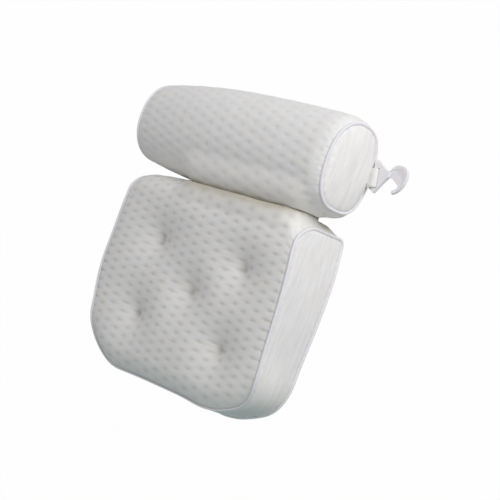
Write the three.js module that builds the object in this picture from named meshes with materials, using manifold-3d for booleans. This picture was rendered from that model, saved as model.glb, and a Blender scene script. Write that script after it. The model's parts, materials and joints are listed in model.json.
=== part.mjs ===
// A white bath pillow: a quilted head roll, hinged by a fabric strip to a tufted wedge cushion for the back.
// Suction cups hold both backs to a tub, and a moulded hook on a webbing loop hangs the pillow up to dry.
// Millimetres. +X runs across the front to the end with the hook, +Y from foot to head, and +Z to the front.
import * as THREE from 'three';
import { mergeVertices } from 'three/addons/utils/BufferGeometryUtils.js';
import Module from 'manifold-3d';

const wasm = await Module();
wasm.setup();

// Fabrics and seams
const clearance = 0.3; // between pieces that touch
const quiltThickness = 3; // quilted knit of the front and the roll, and spacer mesh of the back
const plainThickness = 2.5; // plain knit of the gusset and the roll's end panels
const pipingRadius = 2;
const pipingInset = 1; // the cord's centre lies this far inside the corner that it covers

// Backrest
const backrestWidth = 330;
const backrestHeight = 264;
const headThickness = 96;
const footThickness = 60;
const footCornerRadius = 70; // seen from the front
const headFrontRadius = 26; // seen from the side
const headBackRadius = 10;
const headNarrowing = 3.6; // per side, and the foot is as much wider
const sideBow = 6; // the sides draw in this much from the middle to each end
const headDip = 5; // the head edge drops this much from the middle to each side
const frontCrown = 4; // the front swells this much in the middle
const headSeamDrop = 4; // the front panel ends this far past the back of the head, where the back panel begins
const seamHold = 4; // what lies this close to a seam moves with it ...
const seamReach = 24; // ... and the stuffing swells up over this much more
const footFall = 14; // the front rolls over the foot and meets its seam this much lower
const footFallLow = 8; // the roll is full up to this height above the foot ...
const footFallHigh = 62; // ... and gone at this one
const headCornerDraw = 12.5; // the head's front corners draw back this much towards the side seams ...
const headCornerDrawBack = 5.5; // ... and its back corners this much
const headCornerFall = 12; // the head's front corners drop this much
const headDrawStart = 190; // height above the foot where the corners begin to draw back ...
const headFallStart = 212; // ... and to drop
const headFallEnd = 252;

// Sewn tufts, one in the middle and one towards each corner
const tuftSpanX = 161;
const tuftSpanY = 102;
const tuftCentreY = 126.5;
const tuftDepth = 19;
const tuftSpread = 22; // of the wide, shallow part of a dimple
const tuftPinch = 9; // spread of the tight part
const tuftPinchShare = 0.5; // the tight part's share of the depth
const tuftBed = 6; // half width of the flat bed under a bar tack
const tieRadius = 0.9;
const tackLength = 8;
const tackWidth = 2.4;
const tackHeight = 1.6;
const tackCorner = 1.1;
const tieDiscRadius = 5;
const tieDiscHeight = 1.5;

// Head roll
const rollLength = 346;
const rollHeight = 132;
const rollEndHeight = 119;
const rollFrontDepth = 58.5; // from the section's centre line to the front
const rollEndFrontDepth = 53;
const rollBackDepth = 56.5; // from the centre line to the flat back
const rollEndBackDepth = 48;
const rollGap = 1; // to the backrest's head
const rollFlatShare = 0.6; // this middle share of the back is straight
const rollBarrel = 2.2; // power of the swelling along the roll
const rollDraw = 4; // each end seam draws the cover in this much ...
const rollDrawReach = 22; // ... from round shoulders this far along
const frontFullness = 0.885; // power of the section: 1 is an ellipse, less is fuller
const backFullness = 0.71;
const endDome = 6;

// Suction cups
const cupRadius = 28;
const cupRimWidth = 1.5;
const cupRimHeight = 1;
const cupHollow = 7;
const cupHollowFlankRadius = 15.4; // where the hollow steepens
const cupHollowFlank = 4.6;
const cupFlankRadius = 20; // where the bell's outside steepens
const cupFlank = 6;
const cupCrownRadius = 10.6;
const cupCrown = 10;
const cupHeight = 14; // from the rim to the fabric
const cupShoulderRadius = 5.5;
const cupNeckRadius = 3.2;
const cupHeadRadius = 6;
const cupHeadHeight = 3.7;
const cupHeadEdge = 1.5;
const cupHeadTopRadius = 3.6;
const backrestCupSpanX = 200;
const backrestCupLowY = 72;
const backrestCupHighY = 192;
const rollCupSpan = 80;

// Hinge strip, sewn flat on both backs
const stripWidth = 200;
const stripThickness = 2;
const stripOnBackrest = 16; // overlap with the backrest's back panel
const stripOnRoll = 57; // from the fold line to the strip's sewn edge on the roll
const stripCorner = 6;

// Hook and webbing loop
const webbingWidth = 24;
const webbingThickness = 1.3;
const loopReach = 7.5; // from the roll's end panel to the hook's bar
const loopAboveBack = 21.5;
const loopAboveMiddle = 3.3; // towards the head from the roll's centre line
const hookTurn = THREE.MathUtils.degToRad(14);
const hookThickness = 5;
const hookEdge = 0.8; // rounding of the moulding's edges
const hookBarDepth = 5;
const hookSlotLength = 25.2;
const hookSlotCorner = 1.4;
const hookBaseWidth = 38;
const hookBaseCorner = 4;
const hookWaistReach = 20; // from the bar's axis
const hookWaistRise = 3.6;
const hookWaistWidth = 9;
const hookReach = 48;
const hookCrestReach = 32;
const hookCrestRise = 13.2;
const hookThroatReach = 36.4;
const hookThroatDrop = 13;
const hookTipReach = 26.5;
const hookTipDrop = 20.7;
const hookTipRadius = 2.1;
const hookThroatLead = 5.4; // the throat leaves the waist this far along ...
const hookThroatLeadDrop = 2.7; // ... and down
const hookBowFullness = 9; // the outer bow's handles
const hookCrestFullness = 7;

// Values worked out from those above
const backZ = cupHeight;
const halfWidth = backrestWidth / 2;
const frontSlope = Math.atan((headThickness - footThickness) / backrestHeight);
const sheetInset = pipingInset + pipingRadius + clearance; // sheets stop here, just clear of the cord
const gussetInset = sheetInset + clearance; // and the gusset here, where the cord bends most
const coreDepthInset = quiltThickness + clearance;
const coreBackZ = backZ + coreDepthInset;
const rollMiddleY = backrestHeight + rollGap + rollHeight / 2;
const rollMiddleZ = backZ + rollBackDepth;
const rollHalf = rollLength / 2;
const foldY = backrestHeight + rollGap / 2;
const stripTopZ = backZ - clearance;
const stripBottomZ = stripTopZ - stripThickness;
const tieHoleRadius = tieRadius + clearance;

const quiltWhite = new THREE.MeshStandardMaterial({ color: 0xe9e8e4, roughness: 0.92, metalness: 0 });
const plainWhite = new THREE.MeshStandardMaterial({ color: 0xf0efec, roughness: 0.9, metalness: 0 });
const meshWhite = new THREE.MeshStandardMaterial({ color: 0xe4e5e3, roughness: 0.95, metalness: 0 });
const foamWhite = new THREE.MeshStandardMaterial({ color: 0xefe9da, roughness: 1, metalness: 0 });
const threadWhite = new THREE.MeshStandardMaterial({ color: 0xf2f1ee, roughness: 0.8, metalness: 0 });
const cupClear = new THREE.MeshStandardMaterial({ color: 0xdfe6e6, roughness: 0.25, metalness: 0 });
const hookWhite = new THREE.MeshStandardMaterial({ color: 0xeceaea, roughness: 0.4, metalness: 0 });

// Closed bodies from points

// A closed geometry from points and triangles, with its faces turned outwards
function bodyFrom(points, triangles) {
  let volume = 0;
  const normal = new THREE.Vector3();
  for (const [a, b, c] of triangles) {
    volume += normal.crossVectors(points[a], points[b]).dot(points[c]);
  }
  const index = triangles.flatMap(([a, b, c]) => (volume > 0 ? [a, b, c] : [a, c, b]));
  const geometry = new THREE.BufferGeometry().setFromPoints(points);
  geometry.setIndex(index);
  return geometry;
}

// A sheet between two grids of points with the same layout; a round one joins its last column to its first
function sheetBody(outer, inner, round = false) {
  const rows = outer.length;
  const columns = outer[0].length;
  const points = [...outer.flat(), ...inner.flat()];
  const triangles = [];
  const at = (side, row, column) => side * rows * columns + row * columns + (column % columns);
  const quad = (a, b, c, d) => triangles.push([a, b, c], [a, c, d]);
  const lastColumn = round ? columns : columns - 1;
  for (let row = 0; row < rows - 1; row++) {
    for (let column = 0; column < lastColumn; column++) {
      quad(at(0, row, column), at(0, row, column + 1), at(0, row + 1, column + 1), at(0, row + 1, column));
      quad(at(1, row, column), at(1, row + 1, column), at(1, row + 1, column + 1), at(1, row, column + 1));
    }
  }
  const top = rows - 1;
  for (let column = 0; column < lastColumn; column++) {
    quad(at(0, 0, column), at(1, 0, column), at(1, 0, column + 1), at(0, 0, column + 1));
    quad(at(0, top, column), at(0, top, column + 1), at(1, top, column + 1), at(1, top, column));
  }
  if (!round) {
    for (let row = 0; row < rows - 1; row++) {
      quad(at(0, row, 0), at(0, row + 1, 0), at(1, row + 1, 0), at(1, row, 0));
      const end = columns - 1;
      quad(at(0, row, end), at(1, row, end), at(1, row + 1, end), at(0, row + 1, end));
    }
  }
  return bodyFrom(points, triangles);
}

// A body from a stack of rings, closed at each end by a fan to a middle point
function stackBody(rings, firstMiddle, lastMiddle) {
  const sides = rings[0].length;
  const points = [...rings.flat(), firstMiddle, lastMiddle];
  const triangles = [];
  const first = points.length - 2;
  const last = points.length - 1;
  const top = (rings.length - 1) * sides;
  for (let side = 0; side < sides; side++) {
    const next = (side + 1) % sides;
    for (let row = 0; row < rings.length - 1; row++) {
      const low = row * sides;
      const high = low + sides;
      triangles.push([low + side, low + next, high + next], [low + side, high + next, high + side]);
    }
    triangles.push([first, next, side], [last, top + side, top + next]);
  }
  return bodyFrom(points, triangles);
}

// A cord along a closed path, carried round without twist
function cordBody(path, radius, sides) {
  const count = path.length;
  const tangents = path.map((point, i) => {
    const before = path[(i + count - 1) % count];
    const after = path[(i + 1) % count];
    return after.clone().sub(before).normalize();
  });
  const turnTo = (vector, i) => {
    const turn = new THREE.Quaternion().setFromUnitVectors(tangents[i], tangents[(i + 1) % count]);
    return vector.clone().applyQuaternion(turn);
  };
  const upright = Math.abs(tangents[0].z) > 0.7 ? new THREE.Vector3(1, 0, 0) : new THREE.Vector3(0, 0, 1);
  const start = upright.cross(tangents[0]).normalize();
  const sideways = [start];
  for (let i = 0; i < count; i++) sideways.push(turnTo(sideways[i], i));
  const drift = Math.atan2(sideways[count].clone().cross(start).dot(tangents[0]), sideways[count].dot(start));
  const rings = path.map((point, i) => {
    const across = sideways[i].clone().applyAxisAngle(tangents[i], (drift * i) / count);
    const up = tangents[i].clone().cross(across);
    return Array.from({ length: sides }, (unused, side) => {
      const angle = (2 * Math.PI * side) / sides;
      const offset = across.clone().multiplyScalar(Math.cos(angle)).addScaledVector(up, Math.sin(angle));
      return point.clone().addScaledVector(offset, radius);
    });
  });
  const triangles = [];
  for (let row = 0; row < count; row++) {
    const low = row * sides;
    const high = ((row + 1) % count) * sides;
    for (let side = 0; side < sides; side++) {
      const next = (side + 1) % sides;
      triangles.push([low + side, low + next, high + next], [low + side, high + next, high + side]);
    }
  }
  return bodyFrom(rings.flat(), triangles);
}

// Cuts and joins
function toSolid(geometry) {
  const bare = geometry.clone();
  bare.deleteAttribute('normal');
  bare.deleteAttribute('uv');
  const merged = mergeVertices(bare, 1e-4);
  return new wasm.Manifold(new wasm.Mesh({
    numProp: 3,
    vertProperties: new Float32Array(merged.attributes.position.array),
    triVerts: new Uint32Array(merged.index.array),
  }));
}

function fromSolid(solid) {
  const mesh = solid.getMesh();
  const geometry = new THREE.BufferGeometry();
  geometry.setAttribute('position', new THREE.BufferAttribute(new Float32Array(mesh.vertProperties), 3));
  geometry.setIndex(new THREE.BufferAttribute(new Uint32Array(mesh.triVerts), 1));
  return geometry;
}

function cut(geometry, tools) {
  return fromSolid(tools.reduce((solid, tool) => solid.subtract(toSolid(tool)), toSolid(geometry)));
}

function join(geometries) {
  return fromSolid(geometries.map(toSolid).reduce((whole, solid) => whole.add(solid)));
}

// A drill along Z
function drill(x, y, radius, lowZ, highZ, sides = 10) {
  const tool = new THREE.CylinderGeometry(radius, radius, highZ - lowZ, sides);
  tool.rotateX(Math.PI / 2);
  tool.translate(x, y, (lowZ + highZ) / 2);
  return tool;
}

function roundedRectangle(x0, y0, x1, y1, radius) {
  const quarter = Math.PI / 2;
  const shape = new THREE.Shape();
  shape.absarc(x1 - radius, y0 + radius, radius, -quarter, 0);
  shape.absarc(x1 - radius, y1 - radius, radius, 0, quarter);
  shape.absarc(x0 + radius, y1 - radius, radius, quarter, 2 * quarter);
  shape.absarc(x0 + radius, y0 + radius, radius, 2 * quarter, 3 * quarter);
  return shape;
}

// A flat plate between two heights
function plate(shape, lowZ, highZ, curveSegments = 4) {
  const options = { depth: highZ - lowZ, bevelEnabled: false, curveSegments };
  const geometry = new THREE.ExtrudeGeometry(shape, options);
  geometry.translate(0, 0, lowZ);
  return geometry;
}

// Backrest

const tufts = [[-1, 1], [1, 1], [0, 0], [-1, -1], [1, -1]].map(([across, along]) => ({
  x: (across * tuftSpanX) / 2,
  y: tuftCentreY + (along * tuftSpanY) / 2,
}));
const frontZ = (y) => backZ + footThickness + Math.tan(frontSlope) * y;

const { smoothstep } = THREE.MathUtils;

// How far a point of the flat cut lies inside the seam round the sides and the foot
function insideSeam(x, y) {
  const side = halfWidth - Math.abs(x);
  if (side >= footCornerRadius || y >= footCornerRadius) return Math.min(side, y);
  return footCornerRadius - Math.hypot(footCornerRadius - side, footCornerRadius - y);
}

// 1 beside a seam, easing to 0 at the end of its reach
const seamPull = (away) => Math.max(1 - Math.max(away - seamHold, 0) / seamReach, 0) ** 2;

// A tuft's depth at a distance from its middle, as a share: a tight dimple in a wide, shallow one
function dimple(away) {
  const bell = (spread) => Math.exp(-((away / spread) ** 2) / 2);
  return THREE.MathUtils.lerp(bell(tuftSpread), bell(tuftPinch), tuftPinchShare);
}

// The stuffed form: the wedge's points, bowed, dipped, crowned, drawn to the seams and pulled in at the tufts
function stuffed(x, y, z) {
  const along = (2 * y) / backrestHeight - 1;
  const across = x / halfWidth;
  const swell = -headNarrowing * along - sideBow * along * along;
  const height = THREE.MathUtils.clamp((z - coreBackZ) / (frontZ(y) - seamHold - coreBackZ), 0, 1);
  const fromFoot = smoothstep(y, 0, footCornerRadius);
  const pull = tufts.reduce((sum, tuft) => sum + dimple(Math.hypot(x - tuft.x, y - tuft.y)), 0);
  const rollOver = footFall * (1 - smoothstep(y, footFallLow, footFallHigh)) * seamPull(insideSeam(x, y));
  const rise = frontCrown * (1 - across ** 4) * fromFoot - tuftDepth * pull - rollOver;
  const corner = seamPull(halfWidth - Math.abs(x));
  const toHead = smoothstep(y, headDrawStart, backrestHeight);
  const draw = THREE.MathUtils.lerp(headCornerDrawBack, headCornerDraw, height) * toHead * corner;
  const fall = headCornerFall * height * smoothstep(y, headFallStart, headFallEnd) * corner;
  const dip = headDip * across * across * Math.max(along, 0) + draw;
  return new THREE.Vector3(x * (1 + swell / halfWidth), y - dip, z + rise * height - fall);
}

// The side profile at a depth inside the surface: up the front, round the head and down the back
const headSteps = 4;
const backSteps = 2;
const arcMiddle = {
  y: backrestHeight - headFrontRadius,
  z: frontZ(backrestHeight - headFrontRadius) - headFrontRadius / Math.cos(frontSlope),
};
const backArcMiddle = { y: backrestHeight - headBackRadius, z: backZ + headBackRadius };

function headArc(inset) {
  return Array.from({ length: headSteps + 1 }, (unused, step) => {
    const angle = (Math.PI / 2 + frontSlope) * (1 - step / headSteps);
    const radius = headFrontRadius - inset;
    return { y: arcMiddle.y + radius * Math.cos(angle), z: arcMiddle.z + radius * Math.sin(angle) };
  });
}

function backArc(inset) {
  return Array.from({ length: backSteps + 1 }, (unused, step) => {
    const angle = ((-Math.PI / 2) * step) / backSteps;
    const radius = headBackRadius - inset;
    return { y: backArcMiddle.y + radius * Math.cos(angle), z: backArcMiddle.z + radius * Math.sin(angle) };
  });
}

const frontLine = (y, inset) => ({ y, z: frontZ(y) - inset / Math.cos(frontSlope) });

// Values in order, leaving out those that crowd one that has to stay
function spaced(kept, others, least) {
  const clear = others.filter((value) => kept.every((fixed) => Math.abs(value - fixed) >= least));
  return [...kept, ...clear].sort((a, b) => a - b);
}

const bedLines = (middle) => [middle - tuftBed, middle, middle + tuftBed];
const tuftRows = [-1, 0, 1].flatMap((along) => bedLines(tuftCentreY + (along * tuftSpanY) / 2));
const tuftColumns = [-1, 0, 1].flatMap((across) => bedLines((across * tuftSpanX) / 2));
function evenly(from, to, count) {
  return Array.from({ length: count }, (unused, i) => from + ((to - from) * i) / (count - 1));
}
const cornerSteps = 6;
const leastGrid = 7;
const faceRowCount = 9;
const faceColumnCount = 15;
const topRow = arcMiddle.y - 2 * leastGrid;
const frontRows = spaced(tuftRows, evenly(footCornerRadius, topRow, faceRowCount), leastGrid);
const edgeColumn = halfWidth - leastGrid;
const frontColumns = spaced(tuftColumns, evenly(-edgeColumn, edgeColumn, faceColumnCount), leastGrid);

// Rows of the foot's round corners: height above the foot, and half width
function footRows(inset) {
  const radius = footCornerRadius - inset;
  return evenly(0, Math.PI / 2, cornerSteps + 1).slice(0, -1).map((angle) => ({
    y: footCornerRadius - radius * Math.cos(angle),
    half: halfWidth - footCornerRadius + radius * Math.sin(angle),
  }));
}

// Rows of the front, from the foot's edge to the head's round edge
function faceRows(sideInset, depthInset) {
  const full = halfWidth - sideInset;
  const foot = footRows(sideInset).map((row) => ({ ...frontLine(row.y, depthInset), half: row.half }));
  const face = frontRows
    .filter((y) => y > footCornerRadius)
    .map((y) => ({ ...frontLine(y, depthInset), half: full }));
  const head = headArc(depthInset).map((point) => ({ ...point, half: full }));
  return [...foot, { ...frontLine(footCornerRadius, depthInset), half: full }, ...face, ...head];
}

function gridOf(rows, sideInset) {
  const full = halfWidth - sideInset;
  const columns = [-full, ...frontColumns, full];
  return rows.map((row) => columns.map((x) => stuffed((x * row.half) / full, row.y, row.z)));
}

const backSeamY = backArcMiddle.y - headSeamDrop;

function frontPanel() {
  const wrapped = (inset) => {
    const full = halfWidth - sheetInset;
    const over = [...backArc(inset), { y: backSeamY, z: backZ + inset }];
    const overRows = over.map((point) => ({ ...point, half: full }));
    return gridOf([...faceRows(sheetInset, inset), ...overRows], sheetInset);
  };
  const sheet = sheetBody(wrapped(0), wrapped(quiltThickness));
  return cut(sheet, ties.map((tie) => drill(tie.x, tie.y, tieHoleRadius, backZ, tie.z + tuftDepth)));
}

// The gusset's path round the left side, the foot and the right side
const footDivisions = 6;
const sideRowCount = 8;

function sideHeights() {
  const head = headArc(gussetInset).map((point) => point.y);
  const back = backArc(gussetInset).map((point) => point.y);
  const straight = evenly(footCornerRadius, arcMiddle.y - leastGrid, sideRowCount);
  return spaced([...head, ...back.slice(1, -1)], straight, leastGrid);
}

function outlinePath(inset) {
  const right = [
    ...evenly(0, halfWidth - footCornerRadius, footDivisions).slice(0, -1).map((x) => ({ x, y: inset })),
    ...footRows(inset).map((row) => ({ x: row.half, y: row.y })),
    ...sideHeights().map((y) => ({ x: halfWidth - inset, y })),
  ];
  const left = right.slice(1).reverse().map((point) => ({ x: -point.x, y: point.y }));
  return [...left, ...right];
}

// Front and back of the gusset at a height, just clear of the piping, with round ends at the head
function gussetLimits(y) {
  const reach = (middle, radius) => Math.sqrt(Math.max(radius * radius - Math.max(y - middle, 0) ** 2, 0));
  const arcStart = headArc(gussetInset)[0].y;
  const radius = headFrontRadius - gussetInset;
  const high = y <= arcStart
    ? frontLine(y, gussetInset).z
    : arcMiddle.z + Math.sqrt(Math.max(radius * radius - (y - arcMiddle.y) ** 2, 0));
  return { low: backArcMiddle.z - reach(backArcMiddle.y, headBackRadius - gussetInset), high };
}

function gusset() {
  const skin = (inset) => outlinePath(inset).map((point, i) => {
    const { low, high } = gussetLimits(outlinePath(0)[i].y);
    return [low, (low + high) / 2, high].map((z) => stuffed(point.x, point.y, z));
  });
  return sheetBody(skin(0), skin(plainThickness));
}

const cordSides = 6;

function backrestPiping() {
  const outline = outlinePath(pipingInset).filter((point) => point.y < headArc(pipingInset)[0].y - clearance);
  const front = outline.map((point) => stuffed(point.x, point.y, frontLine(point.y, pipingInset).z));
  const back = outline.map((point) => stuffed(point.x, point.y, backZ + pipingInset)).reverse();
  const x = halfWidth - pipingInset;
  const over = [...headArc(pipingInset), ...backArc(pipingInset)];
  const rightEnd = over.map((point) => stuffed(x, point.y, point.z));
  const leftEnd = over.map((point) => stuffed(-x, point.y, point.z)).reverse();
  return cordBody([...front, ...rightEnd, ...back, ...leftEnd], pipingRadius, cordSides);
}

const backrestCups = [-1, 1].flatMap((side) => [backrestCupLowY, backrestCupHighY].map((y) => ({
  x: (side * backrestCupSpanX) / 2,
  y,
})));
const cupHole = (cup, lowZ, highZ) => drill(cup.x, cup.y, cupNeckRadius + clearance, lowZ, highZ);

const backRowCount = 6;
const backColumnCount = 9;

function backPanel() {
  const half = halfWidth - sheetInset;
  const heights = evenly(footCornerRadius, backSeamY - clearance, backRowCount);
  const rows = [...footRows(sheetInset), ...heights.map((y) => ({ y, half }))];
  const across = (row) => evenly(-row.half, row.half, backColumnCount);
  const face = (z) => rows.map((row) => across(row).map((x) => stuffed(x, row.y, z)));
  const sheet = sheetBody(face(backZ), face(backZ + quiltThickness));
  return cut(sheet, backrestCups.map((cup) => cupHole(cup, 0, backZ + 2 * quiltThickness)));
}

const cupPocket = (cup) => {
  const top = backZ + coreDepthInset + cupHeadHeight + clearance;
  return drill(cup.x, cup.y, cupHeadRadius + 2 * clearance, backZ, top);
};

// The foam: a formed front over a flat back, with round edges at the head
function backrestCore() {
  const full = halfWidth - sheetInset;
  const face = faceRows(sheetInset, coreDepthInset);
  const over = backArc(coreDepthInset).map((point) => ({ ...point, half: full }));
  const grid = gridOf([...face, ...over], sheetInset);
  const rows = grid.length;
  const columns = grid[0].length;
  const straightRows = face.length - headSteps;
  const points = grid.flat();
  const triangles = [];
  const at = (row, column) => row * columns + column;
  const extra = (x, y) => points.push(stuffed(x, y, coreBackZ)) - 1;
  const quad = (a, b, c, d) => triangles.push([a, b, c], [a, c, d]);
  for (let row = 0; row < rows - 1; row++) {
    for (let column = 0; column < columns - 1; column++) {
      quad(at(row, column), at(row, column + 1), at(row + 1, column + 1), at(row + 1, column));
    }
  }
  // foot
  const footSpan = [-full, ...frontColumns, full].map((x) => (x * face[0].half) / full);
  const foot = footSpan.map((x) => extra(x, face[0].y));
  for (let column = 0; column < columns - 1; column++) {
    quad(at(0, column + 1), at(0, column), foot[column], foot[column + 1]);
  }
  // sides, each fanned round the head from its last straight row
  const sideEdge = (sign, column, footPoint) => {
    const edge = [footPoint];
    for (let row = 1; row < straightRows; row++) edge.push(extra(sign * face[row].half, face[row].y));
    const facing = (a, b, c) => triangles.push(sign > 0 ? [a, b, c] : [a, c, b]);
    for (let row = 0; row < straightRows - 1; row++) {
      facing(at(row, column), edge[row], edge[row + 1]);
      facing(at(row, column), edge[row + 1], at(row + 1, column));
    }
    for (let row = straightRows - 1; row < rows - 1; row++) {
      facing(edge[straightRows - 1], at(row + 1, column), at(row, column));
    }
    return edge;
  };
  const left = sideEdge(-1, 0, foot[0]);
  const right = sideEdge(1, columns - 1, foot[columns - 1]);
  // back
  const headEdge = Array.from({ length: columns }, (unused, column) => at(rows - 1, column));
  const loop = [...foot, ...right.slice(1), ...headEdge.reverse(), ...left.slice(1).reverse()];
  const middle = points.push(new THREE.Vector3(0, backrestHeight / 2, coreBackZ)) - 1;
  loop.forEach((point, i) => triangles.push([middle, loop[(i + 1) % loop.length], point]));
  const tieHoles = ties.map((tie) => drill(tie.x, tie.y, tieHoleRadius, backZ, tie.z + tuftDepth));
  const discTop = coreBackZ + tieDiscHeight + clearance;
  const discPockets = ties.map((tie) => drill(tie.x, tie.y, tieDiscRadius + clearance, backZ, discTop));
  return cut(bodyFrom(points, triangles), [...tieHoles, ...discPockets, ...backrestCups.map(cupPocket)]);
}

// Each tie stands where the front is pulled in most
const ties = tufts.map((tuft) => stuffed(tuft.x, tuft.y, frontZ(tuft.y)));
const bedRise = (tuftDepth * (1 - dimple(tuftBed)) * (tackLength + tackWidth)) / (2 * tuftBed);

const tieSides = 12;

function tuftTie(tie) {
  const tackZ = tie.z + bedRise + Math.tan(frontSlope) * tackWidth + clearance;
  const stem = new THREE.LatheGeometry([
    new THREE.Vector2(0, 0),
    new THREE.Vector2(tieDiscRadius, 0),
    new THREE.Vector2(tieDiscRadius, tieDiscHeight),
    new THREE.Vector2(tieRadius, tieDiscHeight),
    new THREE.Vector2(tieRadius, tackZ + tackHeight / 2 - coreBackZ),
    new THREE.Vector2(0, tackZ + tackHeight / 2 - coreBackZ),
  ], tieSides);
  stem.rotateX(Math.PI / 2);
  stem.translate(0, 0, coreBackZ);
  const [x, y] = [tackLength / 2, tackWidth / 2];
  const tack = plate(roundedRectangle(-x, -y, x, y, tackCorner), tackZ, tackZ + tackHeight);
  return join([stem, tack]);
}

// Head roll

// A point of the roll's surface at a share along it, from -1 to 1, an angle round it, and a depth inside it
function rollPoint(share, angle, inset) {
  const swell = Math.abs(share) ** rollBarrel;
  const lift = Math.max((Math.abs(share) - rollFlatShare) / (1 - rollFlatShare), 0) ** rollBarrel;
  const shoulder = Math.max(1 - (rollHalf * (1 - Math.abs(share))) / rollDrawReach, 0) ** 2;
  const depth = rollDraw * shoulder + inset;
  const halfHeight = THREE.MathUtils.lerp(rollHeight, rollEndHeight, swell) / 2 - depth;
  const front = THREE.MathUtils.lerp(rollFrontDepth, rollEndFrontDepth, swell) - depth;
  const back = THREE.MathUtils.lerp(rollBackDepth, rollEndBackDepth, lift) - depth;
  const c = Math.cos(angle);
  const s = Math.sin(angle);
  const y = halfHeight * Math.sign(c) * Math.abs(c) ** frontFullness;
  const z = s > 0 ? front * s ** frontFullness : -back * (-s) ** backFullness;
  return { y: rollMiddleY + y, z: rollMiddleZ + z };
}

const rollSides = 32;
const rollStationCount = 11;
const rollAngles = Array.from({ length: rollSides }, (unused, side) => (2 * Math.PI * side) / rollSides);

function rollRing(x, inset, shrink = 1) {
  const share = THREE.MathUtils.clamp(x / rollHalf, -1, 1);
  return rollAngles.map((angle) => {
    const { y, z } = rollPoint(share, angle, inset);
    const { lerp } = THREE.MathUtils;
    return new THREE.Vector3(x, lerp(rollMiddleY, y, shrink), lerp(rollMiddleZ, z, shrink));
  });
}

const rollCups = [-1, 0, 1].map((side) => ({ x: side * rollCupSpan, y: rollMiddleY }));

const coverHalf = rollHalf - sheetInset;
const rollStations = evenly(-Math.PI / 2, Math.PI / 2, rollStationCount).map((turn) => coverHalf * Math.sin(turn));

function rollCover() {
  const skin = (inset) => rollStations.map((x) => rollRing(x, inset));
  const sleeve = sheetBody(skin(0), skin(quiltThickness), true);
  return cut(sleeve, rollCups.map((cup) => cupHole(cup, 0, rollMiddleZ)));
}

// The end panels are lightly domed: how far the face stands out at a share of the way from middle to rim
const domeAt = (share) => endDome * (1 - share * share);
const domeShares = [0.35, 0.7, 1];

function rollEnd(side) {
  const outer = domeShares.map((share) => {
    return rollRing(side * (rollHalf + domeAt(share)), sheetInset, share);
  });
  const inner = domeShares.map((share) => {
    return rollRing(side * (rollHalf + domeAt(share) - plainThickness), sheetInset, share);
  });
  const middle = (depth) => new THREE.Vector3(side * (rollHalf + endDome - depth), rollMiddleY, rollMiddleZ);
  return stackBody([...outer, ...inner.reverse()], middle(0), middle(plainThickness));
}

function rollPiping(side) {
  return cordBody(rollRing(side * (rollHalf - pipingInset), pipingInset), pipingRadius, cordSides);
}

function rollCore() {
  const end = rollHalf - plainThickness - clearance;
  const capRings = (side) => domeShares.slice(0, -1).map((share) => {
    return rollRing(side * (end + domeAt(share)), sheetInset, share);
  });
  const rim = (side) => rollRing(side * end, sheetInset);
  const rings = [
    ...capRings(-1),
    rim(-1),
    ...rollStations.map((x) => rollRing(x, coreDepthInset)),
    rim(1),
    ...capRings(1).reverse(),
  ];
  const middle = (side) => new THREE.Vector3(side * (end + endDome), rollMiddleY, rollMiddleZ);
  return cut(stackBody(rings, middle(-1), middle(1)), rollCups.map(cupPocket));
}

// Suction cup, standing on its rim, with a mushroom head that buttons through the fabric
const cupSides = 16;

function suctionCup() {
  const shoulder = cupHeight - clearance;
  const headZ = cupHeight + quiltThickness + clearance;
  const profile = [
    [0, cupHollow],
    [cupHollowFlankRadius, cupHollowFlank],
    [cupRadius - cupRimWidth, 0],
    [cupRadius, 0],
    [cupRadius, cupRimHeight],
    [cupFlankRadius, cupFlank],
    [cupCrownRadius, cupCrown],
    [cupShoulderRadius, shoulder],
    [cupNeckRadius, shoulder],
    [cupNeckRadius, headZ],
    [cupHeadRadius, headZ],
    [cupHeadRadius, headZ + cupHeadEdge],
    [cupHeadTopRadius, headZ + cupHeadHeight - clearance],
    [0, headZ + cupHeadHeight - clearance],
  ];
  const geometry = new THREE.LatheGeometry(profile.map(([r, z]) => new THREE.Vector2(r, z)), cupSides);
  geometry.rotateX(Math.PI / 2);
  return geometry;
}

// Hinge strip: one flap on each back, which meet along the fold
function hingeFlap(lowY, highY) {
  const half = stripWidth / 2;
  return plate(roundedRectangle(-half, lowY, half, highY, stripCorner), stripBottomZ, stripTopZ);
}

// Hook and loop, drawn about the hook's bar, with the hook reaching along +X

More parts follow.
